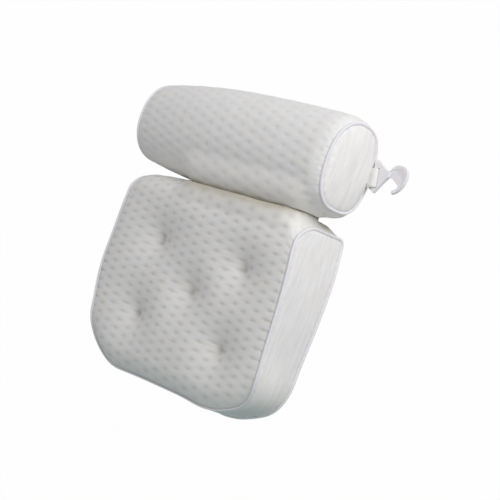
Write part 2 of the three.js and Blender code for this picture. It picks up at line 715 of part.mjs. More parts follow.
function hookOutline() {
  const back = -hookBarDepth / 2;
  const base = hookBaseWidth / 2;
  const shape = new THREE.Shape();
  shape.moveTo(back, base - hookBaseCorner);
  shape.lineTo(back, -base + hookBaseCorner);
  shape.quadraticCurveTo(back, -base, back + hookBaseCorner, -base);
  // the lower edge runs up to the waist and down the throat to the tip
  const waistLow = hookWaistRise - hookWaistWidth / 2;
  shape.lineTo(hookWaistReach - hookWaistWidth / 4, waistLow - hookWaistWidth / 4);
  shape.quadraticCurveTo(hookWaistReach + hookWaistWidth / 4, waistLow + hookWaistWidth / 4,
    hookWaistReach + hookThroatLead, waistLow - hookThroatLeadDrop);
  shape.lineTo(hookThroatReach - hookTipRadius, -hookThroatDrop + hookTipRadius);
  shape.quadraticCurveTo(hookThroatReach, -hookThroatDrop - hookTipRadius,
    hookTipReach + hookTipRadius, -hookTipDrop + hookTipRadius);
  // round tip, then the outer bow back over the crest
  shape.quadraticCurveTo(hookTipReach - hookTipRadius, -hookTipDrop + hookTipRadius,
    hookTipReach - hookTipRadius, -hookTipDrop);
  shape.quadraticCurveTo(hookTipReach - hookTipRadius, -hookTipDrop - hookTipRadius,
    hookTipReach + hookTipRadius, -hookTipDrop - hookTipRadius);
  shape.bezierCurveTo(hookThroatReach + hookTipRadius, -hookTipDrop - hookTipRadius / 2,
    hookReach, -hookThroatDrop + hookTipRadius, hookReach, 0);
  shape.bezierCurveTo(hookReach, hookBowFullness,
    hookCrestReach + hookCrestFullness, hookCrestRise, hookCrestReach, hookCrestRise);
  const waistHigh = hookWaistRise + hookWaistWidth / 2;
  shape.bezierCurveTo(hookCrestReach - hookTipRadius * 2, hookCrestRise,
    hookWaistReach + hookTipRadius, waistHigh, hookWaistReach - hookTipRadius, waistHigh - hookEdge / 2);
  shape.lineTo(back + hookBaseCorner, base);
  shape.quadraticCurveTo(back, base, back, base - hookBaseCorner);
  return shape;
}

const loopInner = Math.hypot(hookBarDepth, hookThickness) / 2 + clearance;
const loopOuter = loopInner + webbingThickness;

function hook() {
  const shape = hookOutline();
  const near = hookBarDepth / 2;
  const far = loopOuter + 2 * clearance;
  const half = hookSlotLength / 2;
  shape.holes.push(roundedRectangle(near, -half, far, half, hookSlotCorner));
  const geometry = new THREE.ExtrudeGeometry(shape, {
    depth: hookThickness - 2 * hookEdge,
    bevelThickness: hookEdge,
    bevelSize: hookEdge,
    bevelOffset: -hookEdge,
    bevelSegments: 1,
    curveSegments: 5,
  });
  geometry.translate(0, 0, hookEdge - hookThickness / 2);
  return geometry;
}

// The end panel's face under the loop, at its highest
const loopFaceX = Math.max(...[-1, 0, 1].flatMap((across) => [-1, 1].map((up) => {
  const y = loopAboveMiddle + (across * webbingWidth) / 2;
  const z = backZ + loopAboveBack + up * loopOuter - rollMiddleZ;
  const rimInset = rollDraw + sheetInset;
  const rim = Math.hypot(y / (rollEndHeight / 2 - rimInset), z / (rollEndBackDepth - rimInset));
  return rollHalf + domeAt(Math.min(rim, 1));
})));

const loopSegments = 10;

function webbingLoop() {
  const tail = loopReach + webbingWidth; // spare length, trimmed to the end panel
  const shape = new THREE.Shape();
  shape.moveTo(-tail, loopOuter);
  shape.lineTo(0, loopOuter);
  shape.absarc(0, 0, loopOuter, Math.PI / 2, -Math.PI / 2, true);
  shape.lineTo(-tail, -loopOuter);
  shape.lineTo(-tail, -loopInner);
  shape.lineTo(0, -loopInner);
  shape.absarc(0, 0, loopInner, -Math.PI / 2, Math.PI / 2, false);
  shape.lineTo(-tail, loopInner);
  const band = plate(shape, 0, webbingWidth, loopSegments);
  band.rotateX(Math.PI / 2);
  band.translate(0, webbingWidth / 2, 0);
  const trim = new THREE.BoxGeometry(2 * tail, 4 * tail, 4 * loopOuter);
  trim.translate(-tail - loopReach + clearance, 0, 0);
  trim.rotateZ(-hookTurn);
  return cut(band, [trim]);
}

// Assembly

const pillow = new THREE.Group();

function add(name, geometry, material, parent = pillow) {
  const mesh = new THREE.Mesh(geometry, material);
  mesh.name = name;
  parent.add(mesh);
  return mesh;
}

add('backrest_front_panel', frontPanel(), quiltWhite);
add('backrest_gusset', gusset(), plainWhite);
add('backrest_back_panel', backPanel(), meshWhite);
add('backrest_piping', backrestPiping(), threadWhite);
add('backrest_core', backrestCore(), foamWhite);
ties.forEach((tie, i) => {
  add(`tuft_tie_${i + 1}`, tuftTie(tie), threadWhite).position.set(tie.x, tie.y, 0);
});
backrestCups.forEach((cup, i) => {
  add(`backrest_cup_${i + 1}`, suctionCup(), cupClear).position.set(cup.x, cup.y, 0);
});

add('roll_cover', rollCover(), quiltWhite);
add('roll_core', rollCore(), foamWhite);
for (const [name, side] of [['left', -1], ['right', 1]]) {
  add(`roll_end_${name}`, rollEnd(side), plainWhite);
  add(`roll_piping_${name}`, rollPiping(side), threadWhite);
}
rollCups.forEach((cup, i) => {
  add(`roll_cup_${i + 1}`, suctionCup(), cupClear).position.set(cup.x, cup.y, 0);
});

add('hinge_flap_backrest', hingeFlap(backSeamY - stripOnBackrest, foldY - clearance / 2), plainWhite);
add('hinge_flap_roll', hingeFlap(foldY + clearance / 2, foldY + stripOnRoll), plainWhite);

const hanger = new THREE.Group();
hanger.position.set(loopFaceX + loopReach, rollMiddleY + loopAboveMiddle, backZ + loopAboveBack);
hanger.rotation.z = hookTurn;
add('hang_loop', webbingLoop(), plainWhite, hanger);
add('hang_hook', hook(), hookWhite, hanger);
pillow.add(hanger);

// The origin is under the middle of the whole, on the plane of the cups' rims
const box = new THREE.Box3().setFromObject(pillow);
const middle = box.getCenter(new THREE.Vector3());
pillow.position.set(-middle.x, -middle.y, -box.min.z);

export default pillow;
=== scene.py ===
# Bath pillow: a quilted head roll hinged to a tufted backrest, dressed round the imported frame
import json
import math

import bmesh
import bpy
import numpy as np
from mathutils import Matrix, Vector


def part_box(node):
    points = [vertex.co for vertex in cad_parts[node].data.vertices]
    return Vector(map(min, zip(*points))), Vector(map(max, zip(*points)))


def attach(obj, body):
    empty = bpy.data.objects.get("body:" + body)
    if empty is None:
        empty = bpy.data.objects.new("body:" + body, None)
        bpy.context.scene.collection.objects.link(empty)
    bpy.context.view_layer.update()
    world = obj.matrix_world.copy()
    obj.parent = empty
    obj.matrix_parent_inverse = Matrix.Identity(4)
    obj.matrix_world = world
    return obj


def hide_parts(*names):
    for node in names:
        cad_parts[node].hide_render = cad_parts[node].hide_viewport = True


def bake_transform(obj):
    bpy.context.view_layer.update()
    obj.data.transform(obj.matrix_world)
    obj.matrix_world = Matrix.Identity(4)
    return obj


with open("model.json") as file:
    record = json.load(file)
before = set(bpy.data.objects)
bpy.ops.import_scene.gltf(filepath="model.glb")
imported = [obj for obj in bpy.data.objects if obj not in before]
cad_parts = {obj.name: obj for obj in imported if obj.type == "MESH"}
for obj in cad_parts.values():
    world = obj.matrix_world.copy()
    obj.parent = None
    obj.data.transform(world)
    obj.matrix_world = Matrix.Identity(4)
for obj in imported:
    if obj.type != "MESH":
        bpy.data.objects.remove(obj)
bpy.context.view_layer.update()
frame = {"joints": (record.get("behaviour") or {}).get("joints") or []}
scene = bpy.context.scene
scene.view_settings.view_transform = "Standard"
bpy.ops.object.select_all(action="DESELECT")

mm = 0.001
tiny = 1e-9
quarterTurn = math.pi / 2
joints = {joint["name"]: joint for joint in frame["joints"]}
fold = np.array(joints["roll_fold"]["pos_m"])
foldHeight = 264.5  # the fold line above the foot, in millimetres
partOrigin = np.array([fold[0], fold[1] - foldHeight * mm, 0.0])


def place(points):
    # from millimetres above the middle of the foot to the part's frame
    return np.asarray(points, float) * mm + partOrigin


def spotsOf(points):
    # the way back, as three fields: across, up and out of the front
    return np.moveaxis((points - partOrigin) / mm, -1, 0)


# Camera, at the photograph's angle
camera = {
    "eye": (1218.8, 93.9, 1240.4),
    "right": (0.6796, 0.3637, -0.6371),
    "up": (-0.2167, 0.9292, 0.2993),
    "lens": 95.36,
    "sensor": 36,
}


def makeCamera():
    back = Vector(camera["right"]).cross(Vector(camera["up"])).normalized()
    up = back.cross(Vector(camera["right"])).normalized()
    right = up.cross(back)
    axes = Matrix((right, up, back)).transposed().to_4x4()
    bpy.ops.object.camera_add()
    lookOut = bpy.context.object
    lookOut.name = "lookOut"
    lookOut.matrix_world = Matrix.Translation(place(camera["eye"])) @ axes
    lookOut.data.lens = camera["lens"]
    lookOut.data.sensor_width = camera["sensor"]
    scene.camera = lookOut


makeCamera()
print("camera set")


# Shader maths: a socket that takes part in Python expressions
class Flow:
    def __init__(self, finish, socket):
        self.finish = finish
        self.socket = socket

    def __add__(self, other):
        return self.finish.maths("ADD", self, other)

    def __radd__(self, other):
        return self.finish.maths("ADD", other, self)

    def __sub__(self, other):
        return self.finish.maths("SUBTRACT", self, other)

    def __rsub__(self, other):
        return self.finish.maths("SUBTRACT", other, self)

    def __mul__(self, other):
        return self.finish.maths("MULTIPLY", self, other)

    def __rmul__(self, other):
        return self.finish.maths("MULTIPLY", other, self)


class Finish:
    def __init__(self, name, colour, roughness, constants=None):
        self.material = bpy.data.materials.new(name)
        self.material.use_nodes = True
        self.tree = self.material.node_tree
        self.shader = self.tree.nodes["Principled BSDF"]
        self.material.diffuse_color = (*colour, 1)
        self.shader.inputs["Base Color"].default_value = (*colour, 1)
        self.shader.inputs["Roughness"].default_value = roughness
        for key, value in (constants or {}).items():
            self.shader.inputs[key].default_value = value

    def node(self, kind, settings=None, inputs=None, out=0):
        made = self.tree.nodes.new(kind)
        for key, value in (settings or {}).items():
            if key == "stops":
                self.rampStops(made.color_ramp, value)
            else:
                setattr(made, key, value)
        for key, value in (inputs or {}).items():
            if isinstance(value, Flow):
                self.tree.links.new(value.socket, made.inputs[key])
            else:
                made.inputs[key].default_value = value
        return Flow(self, made.outputs[out])

    def rampStops(self, ramp, stops):
        while len(ramp.elements) < len(stops):
            ramp.elements.new(0.5)
        for element, (position, shade) in zip(ramp.elements, stops):
            element.position = position
            element.color = (shade, shade, shade, 1)

    def maths(self, operation, first, second=0.0):
        return self.node("ShaderNodeMath", {"operation": operation}, {0: first, 1: second})

    def waves(self, value, pitch):
        return self.maths("SINE", value * (2 * math.pi / pitch))

    def clothPlace(self):
        # the cloth's own coordinates, in metres along and across its cut
        return self.node("ShaderNodeUVMap", {"uv_map": "cloth"})

    def objectPlace(self):
        return self.node("ShaderNodeTexCoord", out="Object")

    def parts(self, vector):
        # the first two parts of a place
        return [self.node("ShaderNodeSeparateXYZ", inputs={0: vector}, out=axis) for axis in (0, 1)]

    def noise(self, vector, scale, detail=2.0):
        inputs = {"Vector": vector, "Scale": scale, "Detail": detail}
        return self.node("ShaderNodeTexNoise", inputs=inputs, out="Fac")

    def stretched(self, vector, scale):
        return self.node("ShaderNodeMapping", inputs={"Vector": vector, "Scale": scale})

    def ramp(self, value, stops):
        return self.node("ShaderNodeValToRGB", {"stops": stops}, {0: value})

    def attribute(self, name):
        return self.node("ShaderNodeAttribute", {"attribute_name": name}, out="Fac")

    def tint(self, colour):
        return colour if isinstance(colour, Flow) else (*colour, 1)

    def blendColours(self, factor, first, second):
        inputs = {0: factor, 6: self.tint(first), 7: self.tint(second)}
        return self.node("ShaderNodeMix", {"data_type": "RGBA"}, inputs, out=2)

    def feed(self, socket, value):
        self.tree.links.new(value.socket, self.shader.inputs[socket])

    def vary(self, socket, value, low, high):
        self.feed(socket, low + value * (high - low))

    def bump(self, height, strength, distance):
        inputs = {"Height": height, "Strength": strength, "Distance": distance}
        self.feed("Normal", self.node("ShaderNodeBump", inputs=inputs, out="Normal"))

    def surface(self, flow):
        self.tree.links.new(flow.socket, self.tree.nodes["Material Output"].inputs["Surface"])


# Fabrics and mouldings: the darker and the lighter tone of each, the colours of painted shade, and what the
# knits share
tones = {
    "quilt": ((0.822, 0.81, 0.762), (0.872, 0.86, 0.81)),
    # painted shade in the dents, puckers, tuft dimples and seam grooves, and on the side of each tuft away
    # from the light
    "dent": (0.58, 0.568, 0.51),
    # painted shade in the crevice where the roll and the backrest meet
    "rub": (0.56, 0.525, 0.415),
    "plain": ((0.84, 0.818, 0.763), (0.925, 0.903, 0.847)),
    # painted shade inside the spacer mesh's holes
    "meshHoleShade": (0.50, 0.50, 0.49),
    "piping": ((0.80, 0.787, 0.795), (0.87, 0.857, 0.863)),
    "webbing": ((0.80, 0.79, 0.76), (0.88, 0.87, 0.84)),
    "thread": ((0.72, 0.715, 0.69), (0.88, 0.875, 0.85)),
    "hook": ((0.80, 0.785, 0.80), (0.87, 0.86, 0.875)),
    "cup": ((0.86, 0.91, 0.915), (0.93, 0.96, 0.96)),
}
knitFeel = {
    "Sheen Weight": 0.12,
    "Sheen Roughness": 0.6,
    "Subsurface Weight": 0.45,
    "Subsurface Radius": (1.0, 0.9, 0.6),
    "Subsurface Scale": 0.007,
}
plainTone = tones["plain"][1]


def quiltFinish():
    made = Finish("quiltedKnit", tones["quilt"][1], roughness=0.9, constants=knitFeel)
    cloth = made.clothPlace()
    along, up = made.parts(cloth)
    loops = made.waves(along, pitch=0.0014) * made.waves(up, pitch=0.00175)
    patches = made.noise(cloth, scale=45.0, detail=3.0)
    knit = made.blendColours(patches, *tones["quilt"])
    # painted shade in the dents, puckers, tuft dimples and seam grooves, carried by the dent attribute
    dentShaded = made.blendColours(made.attribute("dent"), knit, tones["dent"])
    # painted shade in that crevice, carried by a second attribute
    made.feed("Base Color", made.blendColours(made.attribute("rub"), dentShaded, tones["rub"]))
    made.vary("Roughness", patches, low=0.84, high=0.98)
    made.bump(loops + made.noise(cloth, scale=900.0) * 0.8, strength=0.25, distance=0.0003)
    return made.material


def plainFinish(name):
    made = Finish(name, plainTone, roughness=0.88, constants=knitFeel)
    cloth = made.clothPlace()
    along, up = made.parts(cloth)
    streaks = made.noise(made.stretched(cloth, (26.0, 190.0, 1.0)), scale=1.0, detail=4.0)
    loops = made.waves(along, pitch=0.002) * made.waves(up, pitch=0.0014)
    shade = made.ramp(streaks, [(0.35, 0.0), (0.62, 1.0)])
    made.feed("Base Color", made.blendColours(shade, *tones["plain"]))
    made.vary("Roughness", streaks, low=0.82, high=0.97)
    made.bump(loops * 0.7 + streaks * 1.2, strength=0.2, distance=0.0003)
    return made.material


def meshFinish():
    made = Finish("spacerMesh", plainTone, roughness=0.92)
    cell = {"feature": "DISTANCE_TO_EDGE"}
    inputs = {"Vector": made.clothPlace(), "Scale": 330.0, "Randomness": 0.18}
    edge = made.node("ShaderNodeTexVoronoi", cell, inputs, out="Distance")
    web = made.ramp(edge, [(0.10, 1.0), (0.22, 0.0)])
    # the holes are painted darker, as shade inside them
    made.feed("Base Color", made.blendColours(web, tones["meshHoleShade"], plainTone))
    made.bump(web, strength=0.8, distance=0.0009)
    return made.material


def pipingFinish():
    made = Finish("pipingTape", plainTone, roughness=0.8, constants={"Sheen Weight": 0.1})
    cloth = made.clothPlace()
    along, up = made.parts(cloth)
    twill = made.waves(along + up, pitch=0.0018)
    patches = made.noise(cloth, scale=120.0)
    made.feed("Base Color", made.blendColours(patches, *tones["piping"]))
    made.bump(twill + patches, strength=0.25, distance=0.0003)
    return made.material


def webbingFinish():
    made = Finish("webbing", (0.86, 0.85, 0.82), roughness=0.8, constants={"Sheen Weight": 0.15})
    along, up = made.parts(made.clothPlace())
    weave = made.waves(along, pitch=0.0016) * made.waves(up, pitch=0.0011)
    made.feed("Base Color", made.blendColours(weave * 0.5 + 0.5, *tones["webbing"]))
    made.bump(weave, strength=0.3, distance=0.0003)
    return made.material


def threadFinish():
    made = Finish("sewingThread", (0.85, 0.845, 0.82), roughness=0.6, constants={"Sheen Weight": 0.15})
    along, up = made.parts(made.objectPlace())
    plies = made.waves(along + up, pitch=0.0007)
    made.feed("Base Color", made.blendColours(plies * 0.5 + 0.5, *tones["thread"]))
    made.bump(plies, strength=0.3, distance=0.0002)
    return made.material


def hookFinish():
    constants = {
        "Subsurface Weight": 0.15,
        "Subsurface Scale": 0.004,
        "Coat Weight": 0.25,
        "Coat Roughness": 0.2,
    }
    made = Finish("hookPlastic", (0.83, 0.82, 0.83), roughness=0.36, constants=constants)
    spot = made.objectPlace()
    made.feed("Base Color", made.blendColours(made.noise(spot, scale=60.0), *tones["hook"]))
    made.vary("Roughness", made.noise(spot, scale=400.0), low=0.30, high=0.46)
    made.bump(made.noise(spot, scale=1500.0), strength=0.06, distance=0.0002)
    return made.material


def cupFinish():
    constants = {"Transmission Weight": 0.7, "IOR": 1.43, "Coat Weight": 0.2}
    made = Finish("clearCup", (0.90, 0.94, 0.945), roughness=0.14, constants=constants)
    spot = made.objectPlace()
    made.feed("Base Color", made.blendColours(made.noise(spot, scale=90.0), *tones["cup"]))
    made.vary("Roughness", made.noise(spot, scale=300.0), low=0.10, high=0.22)
    return made.material


finishes = {
    "quilted_knit": quiltFinish(),
    "plain_knit": plainFinish("plainKnit"),
    "spacer_mesh": meshFinish(),
    "piping": pipingFinish(),
    "webbing": webbingFinish(),
    "hinge_fabric": plainFinish("hingeFabric"),
    "thread": threadFinish(),
    "hook": hookFinish(),
    "suction_cup": cupFinish(),
}
print("finishes made")


# Fields and paths

def smoothStep(values, low, high):
    t = np.clip((values - low) / (high - low), 0, 1)
    return t * t * (3 - 2 * t)


def bell(away, reach):
    # 1 in the middle, and next to nothing at twice the reach
    return np.exp(-(away / reach) ** 2)


def tucked(away, tuck):
    # how far a seam draws the cloth in: a depth, and how far from the seam it reaches
    depth, reach = tuck
    return depth * bell(away, reach)


def ridges(phase, power=2):
    # the upper halves of a wave
    return np.clip(np.cos(phase), 0, 1) ** power


def unit(vectors):
    return vectors / np.maximum(np.linalg.norm(vectors, axis=-1, keepdims=True), tiny)


def runAlong(path):
    # the length of a path up to each of its points
    return np.cumsum(np.linalg.norm(np.diff(path, axis=0, prepend=path[:1]), axis=1))


def widened(values, count):
    # one column of values, repeated across a grid
    return np.repeat(values[:, None], count, axis=1)


# Grids of cloth

def refine(grid, factor, wrap=False):
    # smooth steps between the rows of a grid
    if wrap:
        ends = np.concatenate([grid[-1:], grid, grid[:2]])
    else:
        ends = np.concatenate([2 * grid[:1] - grid[1:2], grid, 2 * grid[-1:] - grid[-2:-1]])
    before, here, after, beyond = ends[:-3], ends[1:-2], ends[2:-1], ends[3:]
    steps = []
    for step in range(factor):
        t = step / factor
        bend = 2 * before - 5 * here + 4 * after - beyond
        twist = 3 * here - before - 3 * after + beyond
        steps.append(0.5 * (2 * here + (after - before) * t + bend * t * t + twist * t ** 3))
    fine = np.stack(steps, axis=1).reshape(-1, *grid.shape[1:])
    return fine if wrap else np.concatenate([fine, grid[-1:]])


def refineBoth(grid, factors, wrap=False):
    fine = refine(grid, factors[0])
    return np.swapaxes(refine(np.swapaxes(fine, 0, 1), factors[1], wrap), 0, 1)


def gridNormals(points, wrap=False):
    alongRows = np.gradient(points, axis=0)
    if wrap:
        alongColumns = np.roll(points, -1, axis=1) - np.roll(points, 1, axis=1)
    else:
        alongColumns = np.gradient(points, axis=1)
    return unit(np.cross(alongColumns, alongRows))


def raised(points, lift, wrap=False):
    # moves a grid's points out along its normals, by millimetres
    return points + gridNormals(points, wrap) * (np.asarray(lift) * mm)[..., None]


def gridFaces(rows, columns, wrap=False, first=0):
    last = columns if wrap else columns - 1
    row, column = np.meshgrid(np.arange(rows - 1), np.arange(last), indexing="ij")
    after = (column + 1) % columns
    near = row * columns
    far = near + columns
    corners = [near + column, near + after, far + after, far + column]
    return np.stack(corners, axis=-1).reshape(-1, 4) + first


def meshObject(name, points, faces, material):
    mesh = bpy.data.meshes.new(name)
    mesh.from_pydata(points.tolist(), [], [tuple(face) for face in faces])
    mesh.validate()
    piece = bpy.data.objects.new(name, mesh)
    scene.collection.objects.link(piece)
    mesh.materials.append(material)
    mesh.polygons.foreach_set("use_smooth", np.ones(len(mesh.polygons), bool))
    mesh.update()
    return piece


def setCloth(piece, *clothPoints):
    # the cloth's own coordinates, one pair for each corner of each face
    pairs = np.concatenate([points.reshape(-1, 2) for points in clothPoints]) * mm
    layer = piece.data.uv_layers.new(name="cloth")
    corners = np.zeros(len(piece.data.loops), np.int32)
    piece.data.loops.foreach_get("vertex_index", corners)
    layer.data.foreach_set("uv", pairs[corners].astype(np.float32).ravel())


def setShade(piece, name, shade):
    # painted shade, as an attribute of the points: the outside comes first in a shell, and the inside has no
    # shade of its own
    values = np.zeros(len(piece.data.vertices), np.float32)
    values[:shade.size] = np.clip(shade, 0, 1).ravel()
    attribute = piece.data.attributes.new(name, "FLOAT", "POINT")
    attribute.data.foreach_set("value", values)


def rimFaces(fineLine, coarseLine, stride):
    # joins a fine edge to a coarse one that has one point for each stride of it
    faces = []
    for k in range(len(coarseLine) - 1):
        start = k * stride
        middle = start + stride // 2
        for i in range(start, middle):
            faces.append((fineLine[i + 1], fineLine[i], coarseLine[k]))
        faces.append((fineLine[middle], coarseLine[k], coarseLine[k + 1]))
        for i in range(middle, start + stride):
            faces.append((fineLine[i + 1], fineLine[i], coarseLine[k + 1]))
    return faces


def layers(outer, inner, wrap):
    # a fine outside and a coarse inside: their points, their faces and the grids of their corners' numbers
    points = np.concatenate([outer.reshape(-1, 3), inner.reshape(-1, 3)])
    fine = np.arange(outer[..., 0].size).reshape(outer.shape[:2])
    coarse = np.arange(inner[..., 0].size).reshape(inner.shape[:2]) + fine.size
    faces = [tuple(face) for face in gridFaces(*fine.shape, wrap)]
    faces += [tuple(face[::-1]) for face in gridFaces(*coarse.shape, wrap, fine.size)]
    if wrap:
        fine = np.concatenate([fine, fine[:, :1]], axis=1)
        coarse = np.concatenate([coarse, coarse[:, :1]], axis=1)
    return points, faces, fine, coarse


def shell(name, outer, inner, factors, material, wrap=False):
    # a closed piece of cloth: two layers with rims between them
    points, faces, fine, coarse = layers(outer, inner, wrap)
    faces += rimFaces(fine[0], coarse[0], factors[1])
    faces += [face[::-1] for face in rimFaces(fine[-1], coarse[-1], factors[1])]
    if not wrap:
        faces += [face[::-1] for face in rimFaces(fine[:, 0], coarse[:, 0], factors[0])]
        faces += rimFaces(fine[:, -1], coarse[:, -1], factors[0])
    return meshObject(name, points, faces, material)


def dress(piece, body, slotName, *nodes):
    # the piece rides on its body in place of the frame's own nodes
    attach(piece, body)
    if nodes:
        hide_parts(*nodes)


# Stuffing: a cloth simulation with air pressure swells a panel between its seams
stuffing = {
    "frames": 20,
    "easings": 3,
    "cloth": {
        "quality": 6,
        "mass": 0.05,
        "tension_stiffness": 8.0,
        "compression_stiffness": 8.0,
        "shear_stiffness": 4.0,
        "bending_stiffness": 0.4,
        "vertex_group_mass": "held",
        "use_pressure": True,
        "uniform_pressure_force": 4.0,
    },
}


def eased(field, wrap):
    # one pass of smoothing over a grid
    rows = np.pad(field, ((1, 1), (0, 0), (0, 0)), mode="edge")
    field = (rows[:-2] + 2 * rows[1:-1] + rows[2:]) / 4
    columns = np.pad(field, ((0, 0), (1, 1), (0, 0)), mode="wrap" if wrap else "edge")
    return (columns[:, :-2] + 2 * columns[:, 1:-1] + columns[:, 2:]) / 4


def puff(name, cage, held, most, wrap=False):
    # moves the cage's points by so many millimetres at most, and leaves the held ones where they are
    rows, columns = cage.shape[:2]
    piece = meshObject(name, cage.reshape(-1, 3), gridFaces(rows, columns, wrap), finishes["plain_knit"])
    group = piece.vertex_groups.new(name="held")
    group.add([int(i) for i in np.flatnonzero(held.ravel())], 1.0, "REPLACE")
    cloth = piece.modifiers.new("stuffing", "CLOTH")
    for key, value in stuffing["cloth"].items():
        setattr(cloth.settings, key, value)
    cloth.settings.effector_weights.gravity = 0
    cloth.point_cache.frame_start = 1
    cloth.point_cache.frame_end = stuffing["frames"]
    for step in range(1, stuffing["frames"] + 1):
        scene.frame_set(step)
    shaped = piece.evaluated_get(bpy.context.evaluated_depsgraph_get()).to_mesh()
    moved = np.zeros(len(shaped.vertices) * 3, np.float32)
    shaped.vertices.foreach_get("co", moved)
    travel = moved.reshape(rows, columns, 3) - cage
    for step in range(stuffing["easings"]):
        travel = eased(travel, wrap)
        travel[held] = 0
    length = np.linalg.norm(travel, axis=2, keepdims=True)
    print("stuffed", name, "by up to", round(float(length.max()) / mm, 1), "mm")
    bpy.data.objects.remove(piece)
    scene.frame_set(1)
    return cage + travel * np.minimum(1, most * mm / np.maximum(length, tiny))


def heldEdges(cage):
    held = np.zeros(cage.shape[:2], bool)
    held[[0, -1], :] = True
    held[:, [0, -1]] = True
    return held


# Quilting: staggered dents, long across the piece, on a lattice that leans a little
quilt = {
    "halfLength": 5.1,
    "halfHeight": 2.5,
    "pinchLonger": 0.3,
    "pinchLower": 0.4,
    "sharpness": 1.6,
    "front": {"columnPitch": 19.45, "rowPitch": 12.0, "lean": 0.081, "across": -13.1, "along": 5.5},
    "roll": {"columnPitch": 18.95, "rowPitch": 13.7, "lean": 0.146, "across": 2.2, "along": 12.5},
}


def dentField(weave, across, along, pinch=0.0, stretch=(1.0, 1.0)):
    # 1 in the middle of a dent, falling to 0 round it, and the wave of the rows between the dents
    a = across - weave["lean"] * along - weave["across"]
    b = along - weave["along"]
    column = weave["columnPitch"]
    row = weave["rowPitch"]
    halfLength = quilt["halfLength"] * stretch[0] * (1 + quilt["pinchLonger"] * pinch)
    halfHeight = quilt["halfHeight"] * stretch[1] * (1 - quilt["pinchLower"] * pinch)
    field = np.zeros_like(across)
    for odd in (0, 1):
        near = a - odd * column
        near = near - 2 * column * np.round(near / (2 * column))
        up = b - odd * row / 2
        up = up - row * np.round(up / row)
        away = np.abs(near / halfLength) ** quilt["sharpness"] + np.abs(up / halfHeight) ** quilt["sharpness"]
        field = np.maximum(field, np.exp(-away))
    wave = np.cos(math.pi * a / column) * np.cos(2 * math.pi * b / row)
    return field, wave


# The roll and the backrest press each other flat where they touch, from the left end to a right one
contact = {
    "plane": foldHeight,
    "gap": 0.1,
    "softness": 0.15,
    "shadeReach": 9.5,
    "bulge": 11.0,
    "tilt": 0.36,
    "tiltHeight": 82,
    "tiltEnds": (-14, 12),
    "left": (-82, -38),
    "headRight": (130, 163),
    "rollRight": (132, 163),
    "leanRight": (80, 160),
    "shadeRight": (126, 154),
    "fall": 0.4,
    "fallEnds": (60, 140),
}


def contactReach(x, right):
    return smoothStep(x, *contact["left"]) * (1 - smoothStep(x, *contact[right]))


def contactFall(x):
    return contact["fall"] * smoothStep(x, *contact["fallEnds"])


def contactLevel(x, z):
    # the roll leans a little over the head
    lean = contact["tilt"] * np.clip(contact["tiltHeight"] - z, *contact["tiltEnds"])
    return contact["plane"] - contactFall(x) + lean * contactReach(x, "leanRight")


def pressed(points, side):
    # keeps points, in metres, on their own side of the line between roll and backrest
    x, z = spotsOf(points)[[0, 2]]
    level = partOrigin[1] + (contactLevel(x, z) + side * contact["gap"]) * mm
    soft = contact["softness"] * mm
    past = side * (points[..., 1] - level) / soft
    flat = points.copy()
    flat[..., 1] = level + side * soft * np.logaddexp(0, past)
    return flat


def creviceShade(points, right):
    # painted shade where the two pieces meet, darkest at the line between them
    x, y, z = spotsOf(points)
    return contactReach(x, right) * bell(np.abs(y - contactLevel(x, z)), contact["shadeReach"])


# Seams, of the backrest and the roll alike
seam = {
    "inset": 1.0,
    "hold": 4,
    "reach": 24,
    "pipingRadius": 1.9,
}

# Backrest
backrest = {
    "width": 330,
    "height": 264,
    "foot": 60,
    "head": 96,
    "back": 14,
    "footCorner": 70,
    "headFront": 26,
    "headBack": 10,
    "seamDrop": 4,
    "narrowing": 3.6,
    "bow": 6,
    "dip": 0.5,
    "leftDip": 5.5,
    "crown": 4,
    "crownPower": 4,
    "coreBack": 17.3,
    "tuftSpanX": 161,
    "tuftSpanY": 102,
    "tuftMiddle": 126.5,
    "tuftShifts": ((6, 1), (5, -2), (6, 1), (-1, 2), (1, -3)),
    "tuftDepth": 16,
    "tuftSpread": 23,
    "tuftPinch": 9,
    "tuftPinchShare": 0.32,
    "footFall": 14,
    "footFallEnds": (8, 62),
    "leftCorner": 0.3,
    "leftCornerReach": 24,
    "headDraw": 14,
    "headDrawBack": 10.5,
    "headDrawStart": 190,
    "headDrawReach": 13,
    "headDrawBackReach": 28,
    "headDrawPower": 1.1,
    "headFall": 14.5,
    "headFallReach": 105,
    "headFallPower": 1.3,
    "headFallEnds": (200, 260),
    # across, up, reach and push of each uneven place along the outline
    "uneven": (
        (-165, 122, 42, 5.2),
        (-165, 228, 30, -1.4),
        (-165, 66, 20, -1.4),
        (-150, 20, 34, 3.0),
        (165, 200, 46, 1.6),
        (165, 88, 40, -2.2),
        (152, 25, 24, 2.6),
        (126, 0, 40, -4.0),
        (76, 0, 28, 2.8),
        (-100, 0, 36, 1.2),
    ),
}
halfWidth = backrest["width"] / 2
slope = (backrest["head"] - backrest["foot"]) / backrest["height"]
tilt = math.atan(slope)
arcY = backrest["height"] - backrest["headFront"]


def frontZ(y):
    return backrest["back"] + backrest["foot"] + slope * y


arcZ = frontZ(arcY) - backrest["headFront"] / math.cos(tilt)
backArcY = backrest["height"] - backrest["headBack"]
backArcZ = backrest["back"] + backrest["headBack"]

# Tufts are sewn by hand, so each is a few millimetres off its corner
tuftCorners = ((-1, 1), (1, 1), (0, 0), (-1, -1), (1, -1))
tufts = []
for (east, north), (moveX, moveY) in zip(tuftCorners, backrest["tuftShifts"]):
    tuftX = east * backrest["tuftSpanX"] / 2 + moveX
    tuftY = backrest["tuftMiddle"] + north * backrest["tuftSpanY"] / 2 + moveY
    tufts.append((tuftX, tuftY))


